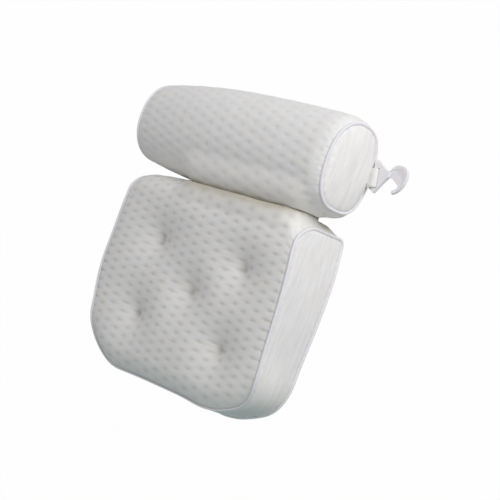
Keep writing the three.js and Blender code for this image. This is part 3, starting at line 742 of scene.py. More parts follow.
def edgeAway(x, y):
    # distance to the front panel's seam, measured in the flat cut
    corner = backrest["footCorner"]
    rounded = corner - np.hypot(np.maximum(np.abs(x) - halfWidth + corner, 0), np.maximum(corner - y, 0))
    straight = np.minimum(halfWidth - np.abs(x), y)
    inCorner = (np.abs(x) > halfWidth - corner) & (y < corner)
    return np.where(inCorner, rounded, straight)


def seamPull(away, reach):
    # 1 beside a seam, falling to 0 where the seam's pull ends
    return np.clip(1 - np.maximum(away - seam["hold"], 0) / reach, 0, 1) ** 2


def tuftPull(x, y):
    # a tight dimple in a wide shallow one
    share = backrest["tuftPinchShare"]
    pull = 0
    for a, b in tufts:
        away = ((x - a) ** 2 + (y - b) ** 2) / 2
        tight = np.exp(-away / backrest["tuftPinch"] ** 2)
        wide = np.exp(-away / backrest["tuftSpread"] ** 2)
        pull = pull + share * tight + (1 - share) * wide
    return pull


def unevenness(x, y):
    # the filling pushes the outline out a little here and leaves it slack there
    corner = backrest["footCorner"]
    outX = np.sign(x) * np.maximum(np.abs(x) - halfWidth + corner, 0) / corner
    outY = -np.maximum(corner - y, 0) / corner
    push = 0
    for a, b, reach, most in backrest["uneven"]:
        push = push + most * bell(x - a, reach) * bell(y - b, reach)
    return push * outX, push * outY


def stuffed(x, y, z):
    # the frame's own form: bowed, dipped, crowned, pulled in at the tufts and drawn in at the seams
    along = 2 * y / backrest["height"] - 1
    across = x / halfWidth
    swell = -backrest["narrowing"] * along - backrest["bow"] * along * along
    height = (z - backrest["coreBack"]) / (frontZ(y) - seam["hold"] - backrest["coreBack"])
    height = np.clip(height, 0, 1)
    fromFoot = smoothStep(y, 0, backrest["footCorner"])
    footFall = backrest["footFall"] * (1 - smoothStep(y, *backrest["footFallEnds"]))
    footFall = footFall * seamPull(edgeAway(x, y), seam["reach"])
    rise = backrest["crown"] * (1 - across ** backrest["crownPower"]) * fromFoot
    rise = rise - backrest["tuftDepth"] * tuftPull(x, y) - footFall
    # the left corner of the head is drawn in less than the right one
    left = x < 0
    sideAway = halfWidth - np.abs(x)
    corner = seamPull(sideAway, backrest["leftCornerReach"]) * backrest["leftCorner"]
    inside = np.maximum(sideAway - seam["hold"], 0)
    reach = backrest["headDrawBackReach"]
    reach = reach + (backrest["headDrawReach"] - reach) * height
    slant = np.clip(1 - inside / reach, 0, 1) ** backrest["headDrawPower"]
    draw = backrest["headDrawBack"] + (backrest["headDraw"] - backrest["headDrawBack"]) * height
    draw = draw * smoothStep(y, backrest["headDrawStart"], backrest["height"]) * np.where(left, corner, slant)
    sunk = np.clip(1 - inside / backrest["headFallReach"], 0, 1) ** backrest["headFallPower"]
    start, end = backrest["headFallEnds"]
    fall = backrest["headFall"] * height * np.clip((y - start) / (end - start), 0, 1) ** 2
    fall = fall * np.where(left, corner, sunk)
    dip = np.where(left, backrest["leftDip"], backrest["dip"]) * across ** 2 * np.maximum(along, 0) + draw
    pushX, pushY = unevenness(x, y)
    return np.stack([x * (1 + swell / halfWidth) + pushX, y - dip + pushY, z + rise * height - fall], axis=-1)


def arc(middleY, middleZ, radius, start, end, steps):
    angles = np.linspace(start, end, steps + 1)
    return np.stack([middleY + radius * np.cos(angles), middleZ + radius * np.sin(angles)], axis=1)


def headArc(inset, steps):
    return arc(arcY, arcZ, backrest["headFront"] - inset, quarterTurn + tilt, 0, steps)


def sideProfile(inset, headSteps, faceSteps, backSteps):
    # from the front of the head, round it and down to the back
    head = headArc(inset, headSteps)
    back = arc(backArcY, backArcZ, backrest["headBack"] - inset, 0, -quarterTurn, backSteps)
    fall = np.linspace(0, 1, faceSteps + 1)[1:-1, None]
    face = head[-1] + (back[0] - head[-1]) * fall
    return np.concatenate([head, face, back])


def footArc(inset, steps):
    angles = np.linspace(0, quarterTurn, steps + 1)
    radius = backrest["footCorner"] - inset
    half = halfWidth - backrest["footCorner"] + radius * np.sin(angles)
    return np.stack([half, backrest["footCorner"] - radius * np.cos(angles)], axis=1)


def outlinePath(inset, footSteps, cornerSteps, sideY):
    # down the left side, along the foot and up the right side
    straight = np.linspace(0, halfWidth - backrest["footCorner"], footSteps + 1)[:-1]
    foot = np.stack([straight, np.full(len(straight), inset)], axis=1)
    side = np.stack([np.full(len(sideY), halfWidth - inset), sideY], axis=1)
    right = np.concatenate([foot, footArc(inset, cornerSteps), side])
    left = right[1:][::-1] * np.array([-1, 1])
    return np.concatenate([left, right])


# Front panel: rows from the foot over the head to the seam on the back
frontPanel = {
    "footSteps": 11,
    "faceSteps": 29,
    "headSteps": (6, 6, 3),
    "columns": 57,
    "factors": (5, 4),
    "thickness": 5.0,
    "swell": 7,
    "heldRows": 4,
    "heldRadius": 6,
    # how far to the right of a tuft each of its marks lies, and the mark's reach across and up
    "pinch": (-16, 14, 16),
    "cusp": (0, 5.0, 6.6),
    "lee": (11, 13, 15),
    # how deep each mark sinks the cover, and how much painted shade darkens it; the last tuft mark is painted
    # shade alone, on the side of each tuft away from the light
    "depths": {"dent": 0.8, "pinchedDent": 0.24, "wave": 0.06, "pucker": 1.5, "cusp": 1.1, "groove": 2.0},
    "paintedShades": {"dent": 0.55, "pucker": 0.6, "cusp": 0.85, "lee": 0.1, "groove": 0.55},
    "dentEdge": (1.5, 9.0),
    "grooveReach": 2.8,
    "puckerReach": 8.5,
    "puckerPower": 5,
    "puckerStart": (8, 40),
    "puckerEase": 0.7,
    "puckerEaseEnds": (120, 170),
    "bulgeUp": (232, 256),
    "bulgeOut": (42, 72),
}


def frontCage():
    foot = footArc(seam["inset"], frontPanel["footSteps"])
    faceTop = arcY - backrest["headFront"] * math.sin(tilt)
    heights = np.linspace(backrest["footCorner"], faceTop, frontPanel["faceSteps"] + 1)[1:-1]
    profile = sideProfile(0, *frontPanel["headSteps"])
    rowY = np.concatenate([foot[:, 1], heights, profile[:, 0], [backArcY - backrest["seamDrop"]]])
    rowZ = np.concatenate([frontZ(foot[:, 1]), frontZ(heights), profile[:, 1], [backrest["back"]]])
    half = np.concatenate([foot[:, 0], np.full(len(rowY) - len(foot), halfWidth - seam["inset"])])
    run = runAlong(np.stack([rowY, rowZ], axis=1))
    columns = frontPanel["columns"]
    x = half[:, None] * np.linspace(-1, 1, columns)
    y, z, along = [widened(rows, columns) for rows in (rowY, rowZ, run)]
    faceRun = run[len(foot) + len(heights) - 1]
    return place(stuffed(x, y, z)), np.stack([x, y, along], axis=-1), faceRun


def tuftMarks(x, y, mark):
    shift, reachX, reachY = frontPanel[mark]
    return sum(bell(x - a - shift, reachX) * bell(y - b, reachY) for a, b in tufts)


def frontRelief(x, y, along, onFront):
    # how far the cover lies under its smooth form, in millimetres, and how much painted shade darkens it in
    # its dents, puckers, tuft dimples and seam groove and on the shaded side of each tuft
    sideAway = halfWidth - np.abs(x)
    away = np.maximum(np.where(onFront, edgeAway(x, y), sideAway) - seam["inset"], 0)
    pinch = np.clip(tuftMarks(x, y, "pinch"), 0, 1) * onFront
    weave = quilt["front"]
    dents, wave = dentField(weave, x, along, pinch)
    fade = smoothStep(away, *frontPanel["dentEdge"])
    # near a side seam each quilted row is drawn into a short pucker
    puckers = ridges(2 * math.pi * (along - weave["along"]) / weave["rowPitch"], frontPanel["puckerPower"])
    puckers = puckers * bell(sideAway, frontPanel["puckerReach"]) * smoothStep(y, *frontPanel["puckerStart"])
    puckers = puckers * (1 - frontPanel["puckerEase"] * smoothStep(y, *frontPanel["puckerEaseEnds"]))
    marks = {
        "dent": dents * fade,
        "pinchedDent": dents * pinch * fade,
        "wave": wave * fade,
        "pucker": puckers,
        "cusp": tuftMarks(x, y, "cusp") * onFront,
        "lee": tuftMarks(x, y, "lee") * onFront,
        "groove": bell(away, frontPanel["grooveReach"]),
    }
    drop = sum(depth * marks[mark] for mark, depth in frontPanel["depths"].items())
    # painted shade, from the same marks
    shade = sum(dark * marks[mark] for mark, dark in frontPanel["paintedShades"].items())
    return drop, shade


def makeFront():
    cage, flat, faceRun = frontCage()
    flatX, flatY, flatRun = np.moveaxis(flat, -1, 0)
    held = heldEdges(cage)
    held[-frontPanel["heldRows"]:] = True
    for a, b in tufts:
        held |= (np.hypot(flatX - a, flatY - b) < frontPanel["heldRadius"]) & (flatRun < faceRun)
    cage = puff("frontCage", cage, held, frontPanel["swell"])
    both = refineBoth(np.concatenate([cage, flat], axis=2), frontPanel["factors"])
    outer, x, y, along = both[..., :3], both[..., 3], both[..., 4], both[..., 5]
    onFront = along < faceRun
    drop, shade = frontRelief(x, y, along, onFront)
    spotY, spotZ = spotsOf(outer)[1:]
    bulge = contact["bulge"] * contactReach(x, "headRight")
    bulge = bulge * smoothStep(spotY, *frontPanel["bulgeUp"]) * smoothStep(spotZ, *frontPanel["bulgeOut"])
    outer = pressed(raised(outer, bulge - drop), -1)
    inner = pressed(cage, -1) - gridNormals(cage) * frontPanel["thickness"] * mm
    piece = shell("backrestFront", outer, inner, frontPanel["factors"], finishes["quilted_knit"])
    setCloth(piece, np.stack([x, along], axis=-1), flat[..., [0, 2]])
    # painted shade in the dents, puckers, tuft dimples and seam groove
    setShade(piece, "dent", shade)
    # painted shade in the crevice under the roll
    setShade(piece, "rub", creviceShade(outer, "shadeRight"))
    dress(piece, "backrest", "quilted_knit", "backrest_front_panel", "backrest_core")
    # the bottom of each tuft, where its tack is sewn
    away = [np.where(onFront, np.hypot(x - a, y - b), np.inf) for a, b in tufts]
    return [outer.reshape(-1, 3)[np.argmin(field)] for field in away]


# Gusset: one plain strip round both sides and the foot
gusset = {
    "footSteps": 11,
    "cornerSteps": 10,
    "sideSteps": 20,
    "headSteps": 8,
    "rows": 10,
    "factors": (4, 4),
    "thickness": 3.0,
    "swell": 4,
    "tuck": (1.4, 2.6),
    "pucker": (0.5, 7),
    "puckerPitch": 14,
    "puckerDrift": 2,
    "puckerDriftLength": 37,
    "slack": 0.35,
    "slackLength": 17,
    "slackDrift": 1.3,
    "slackDriftLength": 21,
    "slackEdge": (3, 18),
    # place along the right foot corner, reach and height of what swells or sinks there
    "cornerBulges": ((35, 26, 3.0), (98, 32, -2.4)),
    "cornerPower": 0.7,
}


def gussetLimits(y, inset):
    radius = backrest["headFront"] - inset
    overArc = np.maximum(y - arcY, -backrest["headFront"] * math.sin(tilt))
    over = arcZ + np.sqrt(np.maximum(radius ** 2 - overArc ** 2, 0))
    high = np.where(y < arcY - radius * math.sin(tilt), frontZ(y) - inset / math.cos(tilt), over)
    underArc = np.maximum(y - backArcY, 0)
    low = backArcZ - np.sqrt(np.maximum((backrest["headBack"] - inset) ** 2 - underArc ** 2, 0))
    return low, high


def makeGusset():
    head = headArc(seam["inset"], gusset["headSteps"])[:, 0]
    side = np.linspace(backrest["footCorner"], head[0], gusset["sideSteps"] + 1)[1:-1]
    path = outlinePath(0, gusset["footSteps"], gusset["cornerSteps"], np.concatenate([side, head]))
    low, high = gussetLimits(path[:, 1], seam["inset"])
    rows = gusset["rows"]
    z = low[:, None] + (high - low)[:, None] * np.linspace(1, 0, rows)
    cage = place(stuffed(widened(path[:, 0], rows), widened(path[:, 1], rows), z))
    run = runAlong(path)
    cut = np.sum((high - low)[1:] * np.diff(run)) * mm * mm
    flat = np.stack([widened(run, rows), z], axis=-1)
    cage = puff("gussetCage", cage, heldEdges(cage), gusset["swell"])
    both = refineBoth(np.concatenate([cage, flat], axis=2), gusset["factors"])
    outer, run, z = both[..., :3], both[..., 3], both[..., 4]
    span = np.linalg.norm(outer[:, :1] - outer[:, -1:], axis=2) / mm
    across = np.linspace(0, 1, outer.shape[1])[None, :] * span
    away = np.minimum(np.minimum(across, span - across), np.minimum(run, run.max() - run))
    drift = gusset["puckerDrift"] * np.sin(run / gusset["puckerDriftLength"])
    puckers = ridges(2 * math.pi * run / gusset["puckerPitch"] + drift)
    drift = gusset["slackDrift"] * np.sin(z / gusset["slackDriftLength"])
    slack = np.sin(run / gusset["slackLength"] + drift) * smoothStep(away, *gusset["slackEdge"])
    # the right foot corner bulges towards the side
    corner = run.max() - run - (backArcY - backrest["footCorner"])
    bulge = sum(most * bell(corner - spot, reach) for spot, reach, most in gusset["cornerBulges"])
    bulge = bulge * np.sin(math.pi * np.clip(across / span, 0, 1)) ** gusset["cornerPower"]
    drop = tucked(away, gusset["tuck"]) + tucked(away, gusset["pucker"]) * puckers
    outer = raised(outer, bulge - drop - gusset["slack"] * slack)
    inner = raised(cage, -gusset["thickness"])
    piece = shell("backrestGusset", outer, inner, gusset["factors"], finishes["plain_knit"])
    setCloth(piece, both[..., 3:5], flat)
    dress(piece, "backrest", "plain_knit", "backrest_gusset")
    np.max(high - low) * mm


# Back panel
backPanel = {
    "cornerSteps": 9,
    "sideSteps": 19,
    "columns": 41,
    "factors": (2, 2),
    "thickness": 3.0,
    "tuck": (1.0, 3.0),
}


def makeBack():
    foot = footArc(seam["inset"], backPanel["cornerSteps"])
    top = backArcY - backrest["seamDrop"]
    heights = np.linspace(backrest["footCorner"], top, backPanel["sideSteps"] + 1)[1:]
    rowY = np.concatenate([foot[:, 1], heights])
    half = np.concatenate([foot[:, 0], np.full(len(heights), halfWidth - seam["inset"])])
    x = half[:, None] * np.linspace(1, -1, backPanel["columns"])
    y = widened(rowY, backPanel["columns"])
    cage = place(stuffed(x, y, np.full_like(x, backrest["back"])))
    flat = np.stack([x, y], axis=-1)
    both = refineBoth(np.concatenate([cage, flat], axis=2), backPanel["factors"])
    outer, x, y = both[..., :3].copy(), both[..., 3], both[..., 4]
    away = np.maximum(edgeAway(x, np.maximum(y, 0)) - seam["inset"], 0)
    outer[..., 2] += tucked(away, backPanel["tuck"]) * mm
    inner = cage + np.array([0, 0, backPanel["thickness"] * mm])
    piece = shell("backrestBack", outer, inner, backPanel["factors"], finishes["spacer_mesh"])
    setCloth(piece, both[..., 3:5], flat)
    dress(piece, "backrest", "spacer_mesh", "backrest_back_panel")


# Piping: a covered cord along a closed seam
piping = {
    "sides": 12,
    "firstAcross": (0.3, 0.5, 0.8),
    "footSteps": 32,
    "cornerSteps": 30,
    "sideSteps": 59,
    "overSteps": (14, 18, 6),
    "rollSteps": 140,
    "thinner": 0.45,
    "thinUp": (2, 45),
    "thinOut": (30, 45),
}


def pipingCord(name, path, radii):
    count = len(path)
    sides = piping["sides"]
    tangents = unit(np.roll(path, -1, axis=0) - np.roll(path, 1, axis=0))
    across = np.zeros_like(path)
    guess = np.array(piping["firstAcross"])
    for i in range(count):
        guess = unit(guess - tangents[i] * np.dot(guess, tangents[i]))
        across[i] = guess
    # the frame's drift over one round is shared out along the cord
    last = unit(across[-1] - tangents[0] * np.dot(across[-1], tangents[0]))
    drift = math.atan2(np.dot(np.cross(last, across[0]), tangents[0]), np.dot(last, across[0]))
    turn = drift * np.arange(count) / count
    up = np.cross(tangents, across)
    angles = np.linspace(0, 2 * math.pi, sides, endpoint=False)
    spun = angles[None, :] + turn[:, None]
    ring = np.cos(spun)[..., None] * across[:, None] + np.sin(spun)[..., None] * up[:, None]
    points = path[:, None] + ring * radii[:, None, None]
    faces = gridFaces(count + 1, sides, wrap=True) % (count * sides)
    piece = meshObject(name, points.reshape(-1, 3), faces, finishes["piping"])
    along = widened(runAlong(path), sides)
    setCloth(piece, np.stack([along, radii[:, None] * angles[None, :]], axis=-1) / mm)
    return piece


def pipingOutline(top):
    sideY = np.linspace(backrest["footCorner"], top, piping["sideSteps"] + 1)[1:-1]
    return outlinePath(seam["inset"], piping["footSteps"], piping["cornerSteps"], sideY).T


def makeBackrestPiping():
    inset = seam["inset"]
    x, y = pipingOutline(arcY - (backrest["headFront"] - inset) * math.sin(tilt))
    front = stuffed(x, y, frontZ(y) - inset / math.cos(tilt))
    x, y = pipingOutline(backArcY)
    back = stuffed(x, y, np.full(len(x), backrest["back"] + inset))[::-1]
    overY, overZ = sideProfile(inset, *piping["overSteps"]).T
    edge = np.full(len(overY), halfWidth - inset)
    rightEnd = stuffed(edge, overY, overZ)
    leftEnd = stuffed(-edge, overY, overZ)[::-1]
    line = np.concatenate([front, rightEnd, back, leftEnd])
    # the foot of the front rolls over the cord and presses it thin
    thin = (1 - smoothStep(line[:, 1], *piping["thinUp"])) * smoothStep(line[:, 2], *piping["thinOut"])
    radii = seam["pipingRadius"] * (1 - piping["thinner"] * thin)
    piece = pipingCord("backrestPiping", place(line), radii * mm)
    dress(piece, "backrest", "piping", "backrest_piping")


tackPlaces = makeFront()
makeGusset()
makeBack()
makeBackrestPiping()
print("backrest dressed")

# Head roll
roll = {
    "length": 346,
    "height": 132,
    "endHeight": 122.5,
    "leftHeight": 107.5,
    "front": 58.5,
    "endFront": 53,
    "leftFront": 50,
    "back": 56.5,
    "endBack": 46.5,
    "endShift": 0.6,
    "endSkew": 3.0,
    "draw": 6.5,
    "leftDraw": 0.5,
    "drawReach": 22,
    "underDraw": 0.35,
    "underTurn": (0.2, 0.9),
    "underFront": (-0.3, 0.4),
    "flatShare": 0.6,
    "barrel": 2.2,
    "frontFullness": 0.885,
    "backFullness": 0.71,
    "middleY": 331,
    "middleZ": 70.5,
    "sectionSteps": 2000,
    "columns": 48,
    "thickness": 4.0,
}
rollHalf = roll["length"] / 2


def signedPower(values, power):
    return np.sign(values) * np.abs(values) ** power


def rollSection(share, angle, inset):
    c = np.cos(angle)
    s = np.sin(angle)
    swell = np.abs(share) ** roll["barrel"]
    lift = np.maximum((np.abs(share) - roll["flatShare"]) / (1 - roll["flatShare"]), 0) ** roll["barrel"]
    shoulder = np.clip(1 - rollHalf * (1 - np.abs(share)) / roll["drawReach"], 0, 1) ** 2
    # the left end keeps its full width up to the seam, and the right end is drawn in, but less underneath
    left = share < 0
    underneath = smoothStep(-c, *roll["underTurn"]) * smoothStep(s, *roll["underFront"])
    draw = np.where(left, roll["leftDraw"], roll["draw"] * (1 - roll["underDraw"] * underneath))
    depth = draw * shoulder + inset
    endHeight = np.where(left, roll["leftHeight"], roll["endHeight"])
    halfHeight = (roll["height"] + (endHeight - roll["height"]) * swell) / 2 - depth
    endFront = np.where(left, roll["leftFront"], roll["endFront"])
    front = roll["front"] + (endFront - roll["front"]) * swell - depth
    back = roll["back"] + (roll["endBack"] - roll["back"]) * lift - depth
    shift = np.where(left, 0, roll["endShift"] - roll["endSkew"] * np.maximum(-s, 0))
    y = roll["middleY"] + shift * swell + halfHeight * signedPower(c, roll["frontFullness"])
    up = front * np.maximum(s, 0) ** roll["frontFullness"]
    down = back * np.maximum(-s, 0) ** roll["backFullness"]
    return y, roll["middleZ"] + np.where(s > 0, up, -down)


def rollAngles(count):
    # evenly spaced round the section, starting at its back
    dense = np.linspace(-quarterTurn, 3 * quarterTurn, roll["sectionSteps"] + 1)
    run = runAlong(np.stack(rollSection(np.zeros(1), dense, 0), axis=1))
    return np.interp(np.linspace(0, run[-1], count, endpoint=False), run, dense), run[-1]


# Roll cover: a quilted sleeve
rollCover = {
    "endShares": (1, 0.985, 0.965, 0.94, 0.91),
    "middleShare": 0.87,
    "middleRows": 37,
    "factors": (4, 6),
    "swell": 4,
    "heldBack": -0.8,
    "dentStretch": (0.75, 1.2),
    "dentDepth": 0.6,
    "waveDepth": 0.2,
    "dentEdge": (1.5, 10.0),
    "paintedDentShade": 0.18,
    "paintedContactShadeWeight": 0.2,
    "pucker": (0.7, 8),
    "tuck": (1.2, 2.6),
    "bulgeUp": (274, 300),
    "bulgeOut": (48, 78),
    "underUp": (268, 300),
    "underRight": (158, 172),
}


def makeRollCover():
    count = roll["columns"]
    angles, girth = rollAngles(count)
    ends = np.array(rollCover["endShares"])
    middle = np.linspace(-rollCover["middleShare"], rollCover["middleShare"], rollCover["middleRows"])
    rowX = (rollHalf - seam["inset"]) * np.concatenate([-ends, middle, ends[::-1]])
    x, angle = np.meshgrid(rowX, angles, indexing="ij")
    y, z = rollSection(x / rollHalf, angle, 0)
    cage = place(np.stack([x, y, z], axis=-1))
    around = np.arange(count) * girth / count
    flat = np.stack([x, np.tile(around, (len(rowX), 1))], axis=-1)
    held = np.sin(angle) < rollCover["heldBack"]
    held[[0, -1], :] = True
    cage = puff("rollCage", cage, held, rollCover["swell"], wrap=True)
    outer = refineBoth(cage, rollCover["factors"], wrap=True)
    rows, columns = outer.shape[:2]
    x = np.repeat(refine(flat[:, 0, :1], rollCover["factors"][0]), columns, axis=1)
    around = np.tile(np.arange(columns) * girth / columns, (rows, 1))
    away = rollHalf - seam["inset"] - np.abs(x)
    dents, wave = dentField(quilt["roll"], x, around, stretch=rollCover["dentStretch"])
    fade = smoothStep(away, *rollCover["dentEdge"])
    puckers = ridges(2 * math.pi * around / quilt["roll"]["rowPitch"])
    drop = (rollCover["dentDepth"] * dents + rollCover["waveDepth"] * wave) * fade
    drop = drop + tucked(away, rollCover["pucker"]) * puckers + tucked(away, rollCover["tuck"])
    spotY, spotZ = spotsOf(outer)[1:]
    lowFront = (1 - smoothStep(spotY, *rollCover["bulgeUp"])) * smoothStep(spotZ, *rollCover["bulgeOut"])
    bulge = contact["bulge"] * contactReach(x, "rollRight") * lowFront
    underneath = 1 - smoothStep(spotY, *rollCover["underUp"])
    underneath = underneath * (1 - smoothStep(x, *rollCover["underRight"]))
    bulge = np.maximum(bulge, contactFall(x) * underneath)
    outer = pressed(raised(outer, bulge - drop, wrap=True), 1)
    inner = pressed(cage, 1) - gridNormals(cage, wrap=True) * roll["thickness"] * mm
    piece = shell("rollCover", outer, inner, rollCover["factors"], finishes["quilted_knit"], wrap=True)
    setCloth(piece, np.stack([x, around], axis=-1), flat)
    # painted shade in the roll's dents
    setShade(piece, "dent", rollCover["paintedDentShade"] * dents * fade)
    # painted shade in the crevice over the backrest's head
    setShade(piece, "rub", rollCover["paintedContactShadeWeight"] * creviceShade(outer, "rollRight"))
    dress(piece, "roll", "quilted_knit", "roll_cover", "roll_core")


# Roll ends: domed panels, as rings that shrink to a pole
rollEnd = {
    "shares": (1.0, 0.93, 0.84, 0.72, 0.58, 0.42, 0.26, 0.1),
    "dome": 7,
    "fullness": 3.2,
    "factors": (3, 3),
    "swell": 2.5,
    "puckers": 26,
    "puckerDrift": 1.5,
    "puckerDriftRounds": 3,
    "pucker": (0.7, 9),
    "tuck": (0.8, 2.5),
}


def makeRollEnd(label, side):
    count = roll["columns"]
    angles = rollAngles(count)[0]
    shares = np.array(rollEnd["shares"])
    middle = np.array([0, roll["middleY"], roll["middleZ"]])
    y, z = rollSection(np.array([side]), angles, seam["inset"])
    ring = np.stack([np.zeros(count), y, z], axis=-1) - middle
    rise = rollEnd["dome"] * (1 - shares ** rollEnd["fullness"])
    rise[0] -= seam["inset"]
    points = ring[None] * shares[:, None, None]
    points[..., 0] = side * (rollHalf + rise)[:, None]
    cage = place(points + middle)
    if side < 0:
        cage = cage[:, ::-1]
    held = np.zeros(cage.shape[:2], bool)
    held[0] = True
    cage = puff("endCage", cage, held, rollEnd["swell"], wrap=True)
    outer = refineBoth(cage, rollEnd["factors"], wrap=True)
    radius = np.linalg.norm((outer - place(middle))[..., 1:], axis=2)
    away = (radius[:1] - radius) / mm
    turn = np.linspace(0, 2 * math.pi, outer.shape[1], endpoint=False)[None, :]
    drift = rollEnd["puckerDrift"] * np.sin(rollEnd["puckerDriftRounds"] * turn)
    puckers = ridges(rollEnd["puckers"] * turn + drift)
    drop = tucked(away, rollEnd["pucker"]) * puckers + tucked(away, rollEnd["tuck"])
    outer[..., 0] -= side * drop * mm
    inner = cage.copy()
    inner[..., 0] -= side * roll["thickness"] * mm
    points, faces, fine, coarse = layers(outer, inner, True)
    faces += rimFaces(fine[0], coarse[0], rollEnd["factors"][1])
    for pole, line in enumerate((fine[-1], coarse[-1, ::-1]), len(points)):
        faces += [(here, after, pole) for here, after in zip(line[:-1], line[1:])]
    points = np.concatenate([points, [outer[-1].mean(axis=0), inner[-1].mean(axis=0)]])
    piece = meshObject("rollEnd" + label, points, faces, finishes["plain_knit"])
    setCloth(piece, points[:, [1, 2]] / mm)
    dress(piece, "roll", "plain_knit", "roll_end_" + label.lower())
    cut = abs(np.sum(y * np.roll(z, -1) - z * np.roll(y, -1))) / 2 * mm * mm


def makeRollPiping(label, side):
    count = piping["rollSteps"]
    y, z = rollSection(np.array([side]), rollAngles(count)[0], seam["inset"])
    path = place(np.stack([np.full(count, side * (rollHalf - seam["inset"])), y, z], axis=-1))
    piece = pipingCord("rollPiping" + label, path, np.full(count, seam["pipingRadius"] * mm))
    dress(piece, "roll", "piping", "roll_piping_" + label.lower())


makeRollCover()
for label, side in (("Left", -1), ("Right", 1)):
    makeRollEnd(label, side)
    makeRollPiping(label, side)
print("roll dressed")


# Modelling helpers for the hard pieces

def startEdit(name):
    # names the new primitive and opens it with everything selected
    piece = bpy.context.object
    piece.name = name
    bpy.ops.object.mode_set(mode="EDIT")
    bpy.ops.mesh.select_all(action="SELECT")
    return piece


def endEdit():
    bpy.ops.mesh.select_all(action="SELECT")
    bpy.ops.mesh.normals_make_consistent(inside=False)
    bpy.ops.object.mode_set(mode="OBJECT")


def selectPlaces(piece, kind, test):
    # selects the corners or edges of the open piece that lie where the test says
    bpy.ops.mesh.select_mode(type=kind)
    bpy.ops.mesh.select_all(action="DESELECT")
    work = bmesh.from_edit_mesh(piece.data)
    if kind == "VERT":
        chosen = [corner for corner in work.verts if test(corner.co)]
    else:
        chosen = [edge for edge in work.edges if all(test(corner.co) for corner in edge.verts)]
    for part in chosen:
        part.select_set(True)
    bmesh.update_edit_mesh(piece.data)


def applied(piece, kind, settings):
    made = piece.modifiers.new(kind.lower(), kind)
    for key, value in settings.items():
        setattr(made, key, value)
    bpy.context.view_layer.objects.active = piece
    bpy.ops.object.modifier_apply(modifier=made.name)


def copied(master, name, matrix):
    # a copy with its own mesh, moved within that mesh
    piece = bpy.data.objects.new(name, master.data.copy())
    piece.data.name = name
    piece.data.transform(matrix)
    scene.collection.objects.link(piece)
    return piece


def selectOnly(pieces):
    bpy.ops.object.select_all(action="DESELECT")
    for piece in pieces:
        piece.select_set(True)
    bpy.context.view_layer.objects.active = pieces[0]


def joined(pieces, name):
    selectOnly(pieces)
    bpy.ops.object.join()
    pieces[0].name = name
    return pieces[0]


def smoothed(piece, angle, material):
    selectOnly([piece])
    bpy.ops.object.shade_smooth_by_angle(angle=math.radians(angle))
    piece.data.materials.clear()
    piece.data.materials.append(material)


def rowOfCopies(master, name, count, pitch, spot=(0, 0, 0)):
    # evenly spaced copies of the master, in a row across the spot, joined into one piece
    copies = []
    for number in range(count):
        shift = Vector(((number - (count - 1) / 2) * pitch * mm, 0, 0))
        copies.append(copied(master, name, Matrix.Translation(Vector(spot) + shift)))
    return joined(copies, name)


# Suction cups, turned from a disc: up the hollow's roof, out over the lip and back up to the head
cup = {
    "sides": 40,
    "sharpAngle": 50,
    "profile": (
        (2, 7), (9, 6.4), (16, 4.4), (22, 1.9), (26.5, 0), (28, 0), (28.2, 0.5), (27.6, 1.1),
        (22.5, 3.2), (17, 5.6), (13, 8), (10, 10.6), (7.5, 13), (5.6, 13.7), (3.2, 13.7),
        (3.2, 17.2), (6, 17.3), (6, 18.4), (5, 19.8), (3, 20.6),
    ),
    "counts": {"backrest": 4, "roll": 3},
}


def makeCups():
    radius, height = cup["profile"][0]
    bpy.ops.object.select_all(action="DESELECT")
    bpy.ops.mesh.primitive_circle_add(
        vertices=cup["sides"], radius=radius * mm, fill_type="NGON", location=(0, 0, 0))
    master = startEdit("cupMaster")
    bpy.ops.transform.translate(value=(0, 0, height * mm))
    for nextRadius, nextHeight in cup["profile"][1:]:
        climb = (0, 0, (nextHeight - height) * mm)
        bpy.ops.mesh.extrude_region_move(TRANSFORM_OT_translate={"value": climb})
        grow = nextRadius / radius
        bpy.ops.transform.resize(value=(grow, grow, 1), center_override=(0, 0, nextHeight * mm))
        radius, height = nextRadius, nextHeight
    endEdit()
    smoothed(master, cup["sharpAngle"], finishes["suction_cup"])
    for body, count in cup["counts"].items():
        for number in range(1, count + 1):
            node = body + "_cup_" + str(number)
            low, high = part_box(node)
            middle = Vector(((low[0] + high[0]) / 2, (low[1] + high[1]) / 2, low[2]))
            piece = copied(master, body + "Cup" + str(number), Matrix.Translation(middle))
            dress(piece, body, "suction_cup", node)
    bpy.data.objects.remove(master)


makeCups()
print("cups moulded")

# Bar tacks that hold the tufts down: a bar of overcast thread
tack = {
    "loops": 7,
    "step": 0.75,
    "loopRadius": 1.1,
    "loopSides": 14,
    "threadRadius": 0.42,
    "threadSides": 7,
    "sharpAngle": 60,
    "sunk": 1.5,
}


def makeTacks():
    bpy.ops.object.select_all(action="DESELECT")
    bpy.ops.mesh.primitive_torus_add(
        major_segments=tack["loopSides"], minor_segments=tack["threadSides"],
        major_radius=tack["loopRadius"] * mm, minor_radius=tack["threadRadius"] * mm, location=(0, 0, 0))
    turn = startEdit("tackTurn")
    bpy.ops.transform.rotate(value=quarterTurn, orient_axis="Y", center_override=(0, 0, 0))
    endEdit()
    master = rowOfCopies(turn, "tackMaster", tack["loops"], tack["step"])
    bpy.data.objects.remove(turn)
    smoothed(master, tack["sharpAngle"], finishes["thread"])
    for number, bottom in enumerate(tackPlaces, 1):
        lift = Vector(bottom) - Vector((0, 0, tack["sunk"] * mm))
        piece = copied(master, "tuftTack" + str(number), Matrix.Translation(lift))
        dress(piece, "backrest", "thread", "tuft_tie_" + str(number))
    bpy.data.objects.remove(master)


makeTacks()
print("tufts tacked")

